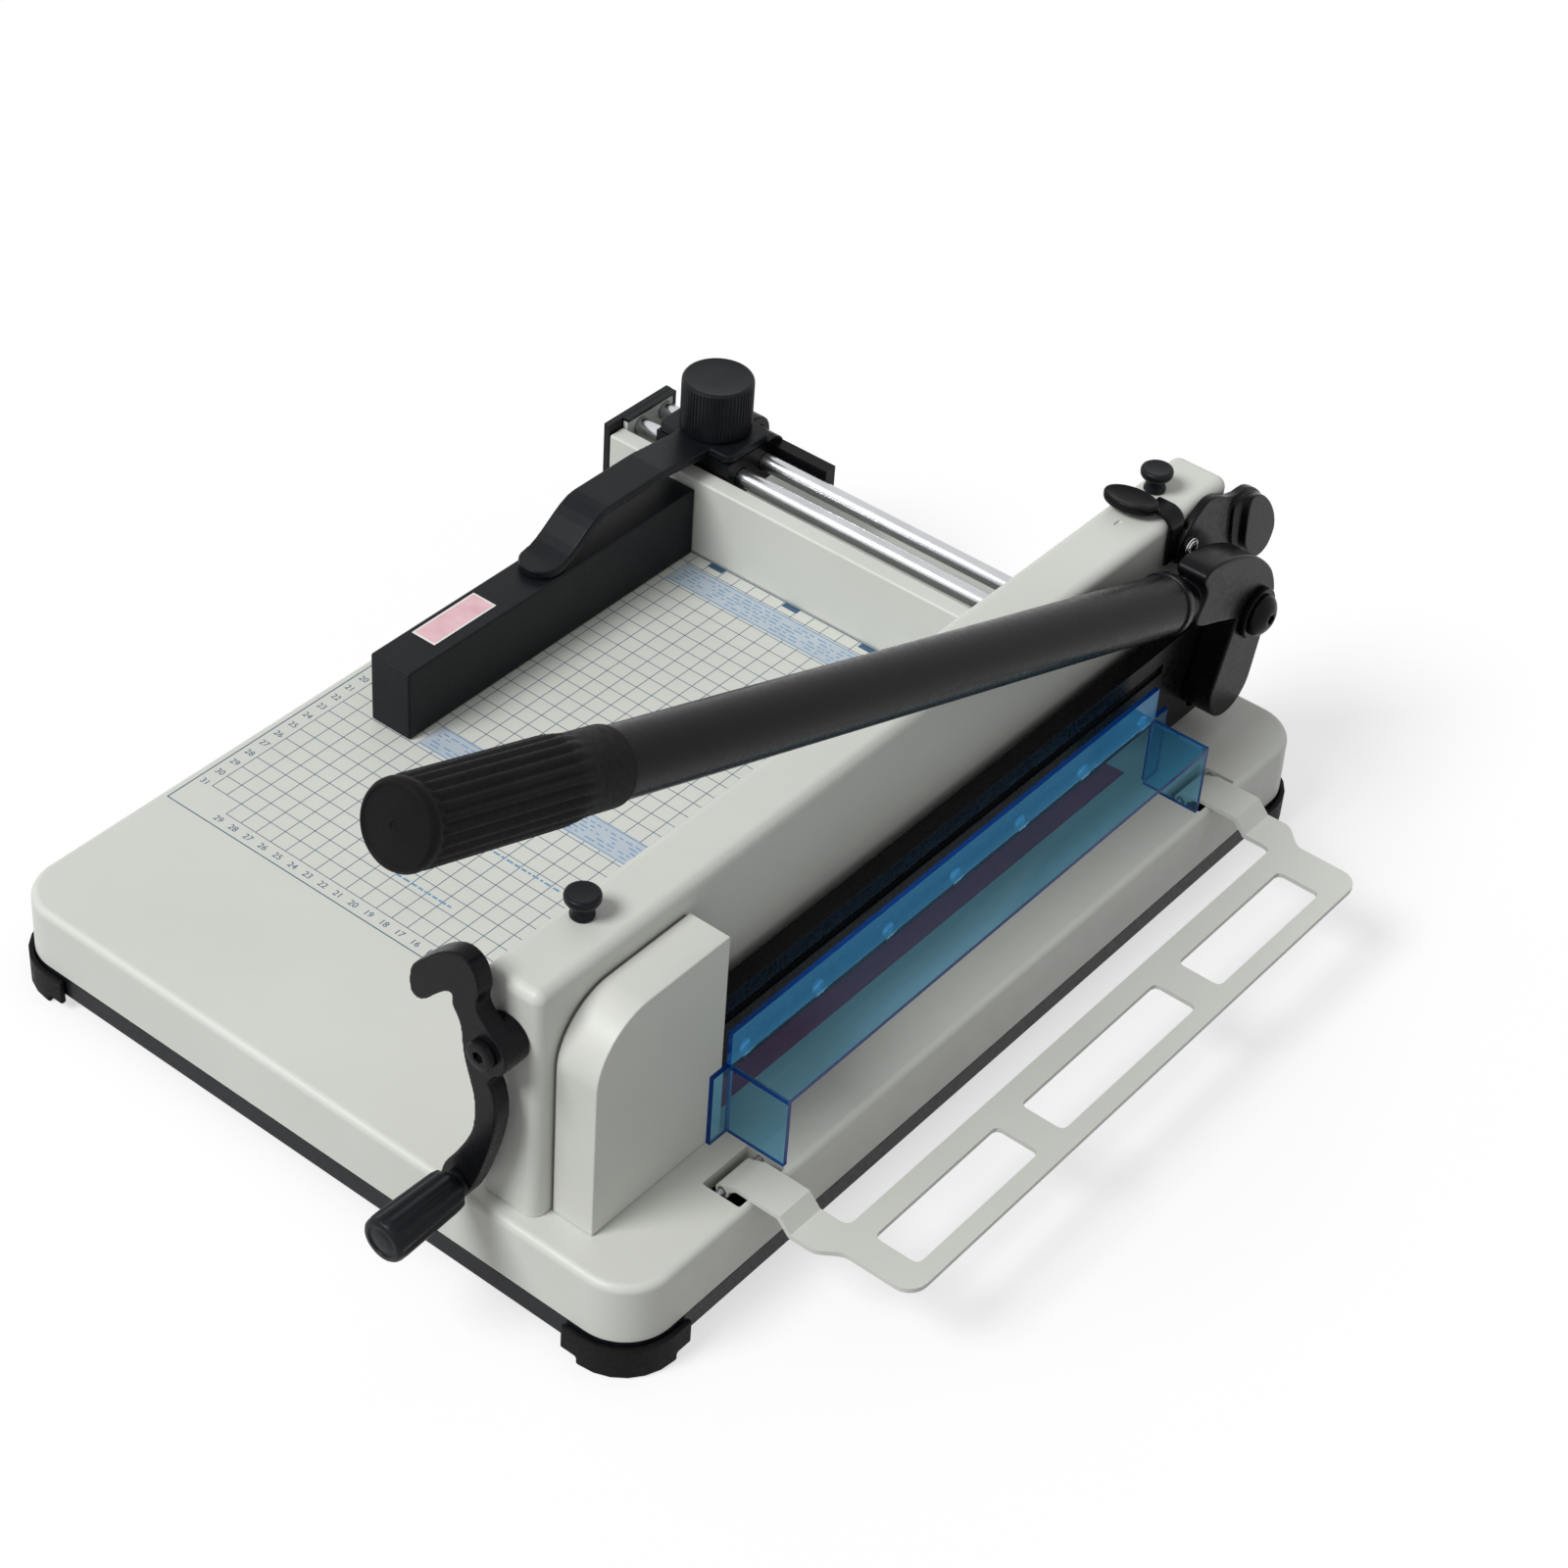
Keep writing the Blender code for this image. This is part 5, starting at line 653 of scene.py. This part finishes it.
HAND_PROFILE = [(0, 3.6), (0, 5.8), (0.4, 6.2), (3.0, 6.4), (4.0, 7.6), (6.0, 9.8, (12, 0.5)),
                (9.0, 10.4, (12, 0.9)), (40.0, 11.4, (12, 0.9)), (43.5, 11.3, (12, 0.5)), (45.6, 10.7),
                (46.6, 9.8), (46.9, 8.6), (46.9, 7.6), (46.4, 7.3), (46.2, 6.4), (46.5, 5.6), (46.8, 3.0),
                (46.8, 0.3)]
lathe("crank_screw_shown", SCREW_PROFILE, at(BEAM_MID, SCREW_BACK, CRANK_Z), TOWARD_USER, "crank",
      "black_enamel", ["crank_screw"], 48)
lathe("crank_grip_shown", HAND_PROFILE, at(BEAM_MID - REACH_X, SCREW_BACK, CRANK_Z - REACH_Z), TOWARD_USER,
      "crank_hand_grip", "black_plastic", ["crank_grip"], 96)


# Knobs on the beam
KNOB_Z = 121.0
KNOB_PROFILE = [(0, 2.5), (9.3, 2.5), (9.3, 5.3), (9.7, 5.6), (11.0, 5.6), (11.8, 5.1), (12.6, 4.9),
                (15.2, 4.9), (16.0, 5.6), (17.2, 7.3), (18.4, 8.05), (19.4, 8.2), (20.6, 8.2), (21.4, 7.9),
                (21.9, 7.2), (21.95, 6.4), (21.7, 5.4), (21.6, 0.4)]
for label in ("near", "far"):
    low, high = local_box("beam_knob_" + label)
    lathe("beam_knob_%s_shown" % label, KNOB_PROFILE, at((low.x + high.x) / 2, (low.y + high.y) / 2, KNOB_Z),
          (0, 0, 1), "knob_" + label, "black_plastic", ["beam_knob_" + label], 48)


# Safety catch; the shares are of the wing's span, and the third says how far a point is drawn in
WING_SPAN, WING_SWEEP = 75.8, 8.0
WING_X, WING_PLATE_T = 131.1, 4.5
WING_DEPTHS = ((0.2, WING_SWEEP), (6.2, WING_SWEEP), (7.2, 2.7), (10.4, 0.0))
WING_PLATE = ((-0.129, -0.026), (-0.118, 0.059), (-0.072, 0.132), (0.013, 0.211), (0.145, 0.283),
              (0.276, 0.263), (0.408, 0.191), (0.526, 0.151), (0.658, 0.138), (0.776, 0.072),
              (0.882, -0.039), (0.961, -0.171), (0.993, -0.289), (0.980, -0.382), (0.928, -0.454),
              (0.829, -0.480), (0.724, -0.441), (0.618, -0.342), (0.513, -0.243), (0.382, -0.184),
              (0.224, -0.151), (0.092, -0.132), (-0.013, -0.132), (-0.092, -0.099))
WING_FACE = ((0.589, 0.099, 1.0), (0.658, 0.116, 0.4), (0.766, 0.055, 0.0), (0.868, -0.053, 0.0),
             (0.945, -0.178, 0.0), (0.978, -0.289, 0.0), (0.964, -0.371, 0.0), (0.916, -0.437, 0.0),
             (0.829, -0.461, 0.0), (0.737, -0.424, 0.0), (0.658, -0.342, 0.3), (0.605, -0.237, 0.8),
             (0.587, -0.066, 1.0))
STRIP_BEND, STRIP_INNER_R, STRIP_T, STRIP_FOOT, STRIP_END = (124.7, 125.8), 6.4, 2.2, 106.0, 117.0
STRIP_Y = (198.5, 210.5)
PAD_X, PAD_Y, PAD_LEAN, PAD_LONG, PAD_SHORT, PAD_THICK, PAD_SINK = 110.3, 195.0, 7.0, 14.5, 8.5, 5.5, 1.1
PAD_RINGS = ((0.0, 0.86), (0.12, 0.96), (0.35, 1.0), (0.8, 1.0), (0.95, 0.97), (1.0, 0.91), (0.9, 0.80),
             (0.78, 0.55), (0.74, 0.25), (0.73, 0.03))


def safety_catch():
    """A rocker: thumb pad over the beam, bent strip and a wing that sweeps out over the lever's head."""
    plate = spline([(CATCH_Y + WING_SPAN * a, CATCH_Z + WING_SPAN * b) for a, b in WING_PLATE])
    wing = []
    for depth, drawn in WING_DEPTHS:
        face = [(CATCH_Y + WING_SPAN * a - drawn * pull, CATCH_Z + WING_SPAN * b) for a, b, pull in WING_FACE]
        wing.append([on_axis("X", pair, WING_X + depth) for pair in spline(face)])
    inner_r, outer_r = STRIP_INNER_R, STRIP_INNER_R + STRIP_T
    bend_x, bend_z = STRIP_BEND
    strip = [(bend_x + inner_r, STRIP_FOOT)] + arc(STRIP_BEND, inner_r, 0, 90, 10)
    strip += [(STRIP_END, bend_z + inner_r), (STRIP_END, bend_z + outer_r)]
    strip += arc(STRIP_BEND, outer_r, 90, 0, 10) + [(bend_x + outer_r, STRIP_FOOT)]
    lean = math.radians(PAD_LEAN)
    pad = []
    for height, share in PAD_RINGS:
        ring = []
        for index in range(48):
            angle = 2 * math.pi * index / 48
            a, b = PAD_LONG * share * math.cos(angle), PAD_SHORT * share * math.sin(angle)
            ring.append(at(PAD_X + a * math.cos(lean) - b * math.sin(lean),
                           PAD_Y + a * math.sin(lean) + b * math.cos(lean),
                           bend_z + outer_r - PAD_SINK + height * PAD_THICK))
        pad.append(ring)
    solids = [prism(plate, "X", WING_X, WING_X + WING_PLATE_T), loft(wing), prism(strip, "Y", *STRIP_Y),
              loft(pad)]
    cast_solids("safety_catch_shown", solids, "catch", "black_enamel", ["safety_catch"], 0.5, 5)


safety_catch()


# Guide rods and back gauge
ROD_Z = 44.0
for label, y in (("inner", 184.0), ("outer", 204.0)):
    low, high = local_box("guide_rod_" + label)
    span = high.x - low.x
    cross_x("guide_rod_%s_shown" % label, [(0, 4.2), (0.6, 4.9), (1.0, 5.0), (span - 1.0, 5.0), (span, 4.2)],
            (low.x, y, ROD_Z), "chrome", "guide_rod_" + label, 48)
refined("gauge_block", "gauge", "black_plastic", 0.4, 2, 50)
refined("gauge_carriage", "gauge", "black_enamel", 1.2, 4)
piece(softened(copied("gauge_handle"), 0.5, 4), "gauge", "black_plastic", ["gauge_handle"])
KNOB_RIBS = 60
rib, soft_rib = (KNOB_RIBS, 0.55), (KNOB_RIBS, 0.3)
LOCK_PROFILE = [(0, 4.8), (5.3, 4.8), (5.3, 18.4), (5.6, 18.9), (6.6, 19.4, soft_rib), (7.6, 19.45, rib),
                (33.2, 19.45, rib), (34.4, 19.3, soft_rib), (35.3, 18.6), (35.7, 17.6), (35.5, 16.6),
                (35.3, 8.0), (35.3, 0.4)]
low, high = local_box("gauge_knob")
lathe("gauge_knob_shown", LOCK_PROFILE, at((low.x + high.x) / 2, (low.y + high.y) / 2, low.z), (0, 0, 1),
      "lock_knob", "black_plastic", ["gauge_knob"], KNOB_RIBS * 4, 30)
LABEL_BORDER, LABEL_STEP = 1.1, 0.1


def gauge_label():
    low, high = local_box("gauge_label")
    border = box_mesh((low.x, low.y, low.z), (high.x, high.y, high.z - LABEL_STEP))
    sheet = from_bmesh("gauge_label_shown", border)
    edge_bevel(sheet, 0.1, 2)
    piece(sheet, "gauge", "label_paper", ["gauge_label"], WHITE_PRINT)
    field_low = (low.x + LABEL_BORDER, low.y + LABEL_BORDER, high.z - LABEL_STEP - 0.04)
    field_high = (high.x - LABEL_BORDER, high.y - LABEL_BORDER, high.z)
    piece(from_bmesh("gauge_label_field", box_mesh(field_low, field_high)), "gauge", "label_paper")


gauge_label()


# Guard: blue sheet with a back strip and closed ends, open at the front
GUARD_SHEET, GUARD_TOP, GUARD_STRIP, GUARD_FLANGE, GUARD_FOOT = 2.5, 41.0, 60.0, 11.5, 0.4
FACING = 0.9
CLEAR_FACE, EDGE_FACE, STRIP_FACE = 0, 1, 2


def unshaded(obj):
    """Lets the light through to what stands behind the sheet."""
    obj.visible_shadow = False
    obj.visible_diffuse = False


def guard():
    low, high = local_box("blade_guard")
    x0, x1 = low.x, high.x
    y0, y1 = low.y + GUARD_FLANGE, high.y - GUARD_FLANGE
    back, under = x0 + GUARD_SHEET, GUARD_TOP - GUARD_SHEET
    bend = filleted([(x1, GUARD_TOP), (back, GUARD_TOP), (back, GUARD_STRIP)], 1.5, 5, closed=False)
    outline = [(x0, under), (x1, under)] + bend + [(x0, GUARD_STRIP)]
    bent = from_bmesh("guard_sheet", prism(outline, "Y", y0, y1))
    smooth(bent, 40)
    piece(bent, "base", "blue_acrylic", ["blade_guard"])
    bent.data.materials.append(BLUE_EDGE)
    bent.data.materials.append(BLUE_STRIP)
    for face in bent.data.polygons:
        centre = (face.center - TABLE) / MM
        rim = abs(face.normal.y) > FACING or centre.z > GUARD_STRIP - 0.05 or centre.x > x1 - 0.05
        above = centre.z > GUARD_TOP + 0.5
        face.material_index = EDGE_FACE if rim else STRIP_FACE if above else CLEAR_FACE
    unshaded(bent)
    sides = (("near", y0 + SEAM, y0 + GUARD_SHEET, y0 - GUARD_FLANGE, y0),
             ("far", y1 - GUARD_SHEET, y1 - SEAM, y1, y1 + GUARD_FLANGE))
    for label, low_y, high_y, flange_low, flange_high in sides:
        panel = from_bmesh("guard_end_" + label, box_mesh((back, low_y, GUARD_FOOT),
                                                          (x1 - SEAM, high_y, under - SEAM)))
        flange = from_bmesh("guard_flange_" + label, box_mesh((x0 + SEAM, flange_low, GUARD_FOOT),
                                                              (back, flange_high, GUARD_TOP)))
        for part in (panel, flange):
            piece(part, "base", "blue_acrylic")
            part.data.materials.append(BLUE_EDGE)
            unshaded(part)
        for face in panel.data.polygons:
            rim = abs(face.normal.x) > FACING or face.normal.z < -FACING
            face.material_index = EDGE_FACE if rim else CLEAR_FACE
        for face in flange.data.polygons:
            face.material_index = CLEAR_FACE if abs(face.normal.x) > FACING else EDGE_FACE


guard()
refined("front_rack", "rack", "cream_paint", 0.7, 3, 28)


# The print on the table: a centimetre grid with numbers and two plain bands
PRINT_FLOOR = 0.01
GRID_STEP, GRID_X, GRID_Y = 10.0, -158.0, -157.0
GRID_COLUMNS, GRID_ROWS = 26, 32
GRID_END_X, GRID_END_Y, SCALE_X, SCALE_Y = 96.0, 160.8, -178.0, -147.0
MARGIN_X, MARGIN_Y, HALF_LINE = -188.0, -167.0, 0.19


def printed(name, bars, look):
    """Thin bars on the table, each given as low x, low y, high x, high y and its height."""
    bm = merged([box_mesh((x0, y0, PRINT_FLOOR), (x1, y1, height)) for x0, y0, x1, y1, height in bars])
    piece(from_bmesh(name, bm), "base", "label_paper", look=look)


def print_lines():
    bars = []
    columns = [(GRID_X + GRID_STEP * index, GRID_Y) for index in range(GRID_COLUMNS)]
    columns += [(SCALE_X + GRID_STEP * index, SCALE_Y) for index in range(2)]
    for x, start_y in columns:
        if x + HALF_LINE < GRID_END_X:
            bars.append((x - HALF_LINE, start_y, x + HALF_LINE, GRID_END_Y, 0.05))
    for index in range(GRID_ROWS):
        y = GRID_Y + GRID_STEP * index
        bars.append((SCALE_X if index else GRID_X, y - HALF_LINE, GRID_END_X, y + HALF_LINE, 0.06))
    bars.append((MARGIN_X - 0.3, MARGIN_Y - 0.3, MARGIN_X + 0.3, GRID_END_Y, 0.05))
    bars.append((MARGIN_X - 0.3, MARGIN_Y - 0.3, GRID_END_X, MARGIN_Y + 0.3, 0.06))
    printed("scale_grid", bars, INK)


BANDS_Y = ((-55.0, -37.0), (134.5, 152.0))
BAND_X, DASH_X = (-128.0, 90.0), (-125.0, 84.0, 88.0)
BAND_TOP, INK_TOP = 0.075, 0.085
SHORT_ROWS = ((-133.0, -68.0, -32.0), (-90.0, -48.0, -3.0))
TAB_X, TAB_W, TAB_Y, FENCE_LINE = (-118.5, -67.5, -16.5), 10.0, 157.5, (161.2, 161.8)


def bands():
    """Two plain pale bands with blue rules and rows of short blue dashes."""
    pale, blue = [], []
    seeded = np.random.default_rng(7)
    for low_y, high_y in BANDS_Y:
        pale.append((BAND_X[0], low_y, BAND_X[1], high_y, BAND_TOP))
        for rule_y in (low_y + 0.4, high_y - 1.0):
            blue.append((BAND_X[0], rule_y, BAND_X[1], rule_y + 0.6, INK_TOP))
        first_x, last_x, end_x = DASH_X
        for row_y in np.arange(low_y + 3.0, high_y - 3.0, 2.6):
            x = first_x + 3.0 * seeded.random()
            while x < last_x:
                length = 1.2 + 5.0 * seeded.random()
                if seeded.random() < 0.8:
                    blue.append((x, row_y, min(x + length, end_x), row_y + 0.75, INK_TOP))
                x += length + 1.0 + 1.6 * seeded.random()
    for y, x_from, x_to in SHORT_ROWS:
        x = x_from
        while x < x_to:
            length = 1.5 + 3.0 * seeded.random()
            blue.append((x, y - 0.6, min(x + length, x_to), y + 0.6, INK_TOP))
            x += length + 1.1
    low_y, high_y = FENCE_LINE
    tabs = [(MARGIN_X, low_y, GRID_END_X, high_y, INK_TOP)]
    tabs += [(x, TAB_Y, x + TAB_W, low_y, INK_TOP) for x in TAB_X]
    printed("band_paper", pale, BAND_PAPER)
    printed("band_dashes", blue, BAND_INK)
    printed("fence_line", tabs, INK)


print_lines()
bands()
NUMBER_SIZE, NUMBER_T, NUMBER_Z = 5.2, 0.02, 0.04
NUMBER_ROW_Y, NUMBER_COLUMN_X = -162.2, -183.0
HIGHEST_X_NUMBER, HIGHEST_Y_NUMBER = 29, 31


def numbers():
    made = []

    def number(value, x, y):
        curve = bpy.data.curves.new("number", "FONT")
        curve.body = str(value)
        curve.size = NUMBER_SIZE * MM
        curve.align_x = "CENTER"
        curve.align_y = "CENTER"
        curve.extrude = NUMBER_T * MM
        text = bpy.data.objects.new("number", curve)
        bpy.context.scene.collection.objects.link(text)
        text.matrix_world = Matrix.Translation(at(x, y, NUMBER_Z))
        made.append(text)

    for index in range(GRID_COLUMNS - 1):
        number(HIGHEST_X_NUMBER - index, GRID_X + GRID_STEP * index, NUMBER_ROW_Y)
    for index in range(GRID_ROWS - 2):
        number(HIGHEST_Y_NUMBER - index, NUMBER_COLUMN_X, SCALE_Y + GRID_STEP * index)
    bpy.context.view_layer.update()
    graph = bpy.context.evaluated_depsgraph_get()
    bm = bmesh.new()
    for text in made:
        mesh = bpy.data.meshes.new_from_object(text.evaluated_get(graph))
        mesh.transform(text.matrix_world)
        bm.from_mesh(mesh)
        bpy.data.meshes.remove(mesh)
    for text in made:
        curve = text.data
        bpy.data.objects.remove(text, do_unlink=True)
        bpy.data.curves.remove(curve)
    return from_bmesh("scale_numbers", bm)


piece(numbers(), "base", "label_paper", look=INK)


# Camera, from the printed grid
AZIMUTH, ELEVATION, ROLL = -53.891, 39.873, 4.448
FOCAL_PX, SENSOR_MM = 3532.79, 36.0
CAMERA_PLACE = (799.82, -1016.82, 1097.65)


def camera():
    azimuth, elevation, roll = math.radians(AZIMUTH), math.radians(ELEVATION), math.radians(ROLL)
    back = Vector((math.cos(elevation) * math.cos(azimuth), math.cos(elevation) * math.sin(azimuth),
                   math.sin(elevation)))
    right = (-back).cross(Vector((0, 0, 1))).normalized()
    up = right.cross(-back)
    turned_right = math.cos(roll) * right + math.sin(roll) * up
    turned_up = -math.sin(roll) * right + math.cos(roll) * up
    data = bpy.data.cameras.new("camera")
    data.sensor_width = SENSOR_MM
    data.lens = FOCAL_PX * SENSOR_MM / PHOTO_PX
    data.clip_end = 20.0
    made = bpy.data.objects.new("camera", data)
    bpy.context.scene.collection.objects.link(made)
    basis = Matrix((turned_right, turned_up, back)).transposed().to_4x4()
    made.matrix_world = Matrix.Translation(at(*CAMERA_PLACE)) @ basis
    bpy.context.scene.camera = made


camera()


# Floor, world and sun
def ray_share(nodes, links, *kinds):
    """One for rays of the kinds named, else zero."""
    path = nodes.new("ShaderNodeLightPath")
    total = path.outputs[kinds[0]]
    for kind in kinds[1:]:
        either = nodes.new("ShaderNodeMath")
        either.operation = "MAXIMUM"
        links.new(total, either.inputs[0])
        links.new(path.outputs[kind], either.inputs[1])
        total = either.outputs[0]
    return total


FLOOR_REACH, FLOOR_DROP = 6.0, 0.0004
FLOOR_GLOW, FLOOR_WHITE, FLOOR_DULL = 0.6, 1.06, 0.35
AMBIENT, BACKDROP = 0.40, 1.0
SUN_STRENGTH, SUN_ANGLE, SUN_HEADING = 2.36, 25.0, (0.24, 0.62, -0.75)
SEEN = ("Is Camera Ray", "Is Glossy Ray", "Is Transmission Ray")


def either_shader(nodes, links, first, second, target, share=None):
    """The first shader at a share of zero, the second at one. No share given, it is one for seen rays."""
    mix = nodes.new("ShaderNodeMixShader")
    if share is None:
        links.new(ray_share(nodes, links, *SEEN), mix.inputs["Fac"])
    else:
        mix.inputs["Fac"].default_value = share
    links.new(first.outputs[0], mix.inputs[1])
    links.new(second.outputs[0], mix.inputs[2])
    if target:
        links.new(mix.outputs[0], target.inputs["Surface"])
    return mix


def studio():
    bm = bmesh.new()
    corners = ((-FLOOR_REACH, -FLOOR_REACH), (FLOOR_REACH, -FLOOR_REACH), (FLOOR_REACH, FLOOR_REACH),
               (-FLOOR_REACH, FLOOR_REACH))
    bm.faces.new([bm.verts.new((a, b, -FLOOR_DROP)) for a, b in corners])
    floor = from_bmesh("studio_floor", bm)
    made, nodes, links, shader = new_material("pale_floor")
    nodes.remove(shader)
    noise = object_noise(nodes, links, 6.0)
    paper = nodes.new("ShaderNodeBsdfDiffuse")
    links.new(colour_mix(nodes, links, noise.outputs["Fac"], (0.97, 0.97, 0.97), (0.95, 0.95, 0.95)),
              paper.inputs["Color"])
    white = nodes.new("ShaderNodeEmission")
    white.inputs["Strength"].default_value = FLOOR_WHITE
    dull = nodes.new("ShaderNodeBsdfDiffuse")
    dull.inputs["Color"].default_value = (FLOOR_DULL, FLOOR_DULL, FLOOR_DULL, 1.0)
    lit = either_shader(nodes, links, paper, white, None, FLOOR_GLOW)
    either_shader(nodes, links, dull, lit, nodes["Material Output"])
    floor.data.materials.append(made)

    world = bpy.data.worlds.new("studio")
    bpy.context.scene.world = world
    world.use_nodes = True
    nodes, links = world.node_tree.nodes, world.node_tree.links
    nodes.clear()
    backdrops = []
    for strength in (AMBIENT, BACKDROP):
        backdrop = nodes.new("ShaderNodeBackground")
        backdrop.inputs["Color"].default_value = (1.0, 1.0, 1.0, 1.0)
        backdrop.inputs["Strength"].default_value = strength
        backdrops.append(backdrop)
    either_shader(nodes, links, *backdrops, nodes.new("ShaderNodeOutputWorld"))

    data = bpy.data.lights.new("key", "SUN")
    data.energy = SUN_STRENGTH
    data.angle = math.radians(SUN_ANGLE)
    sun = bpy.data.objects.new("key", data)
    bpy.context.scene.collection.objects.link(sun)
    sun.rotation_euler = Vector(SUN_HEADING).to_track_quat("-Z", "Y").to_euler()


studio()

scene = bpy.context.scene
scene.view_settings.view_transform = "Standard"
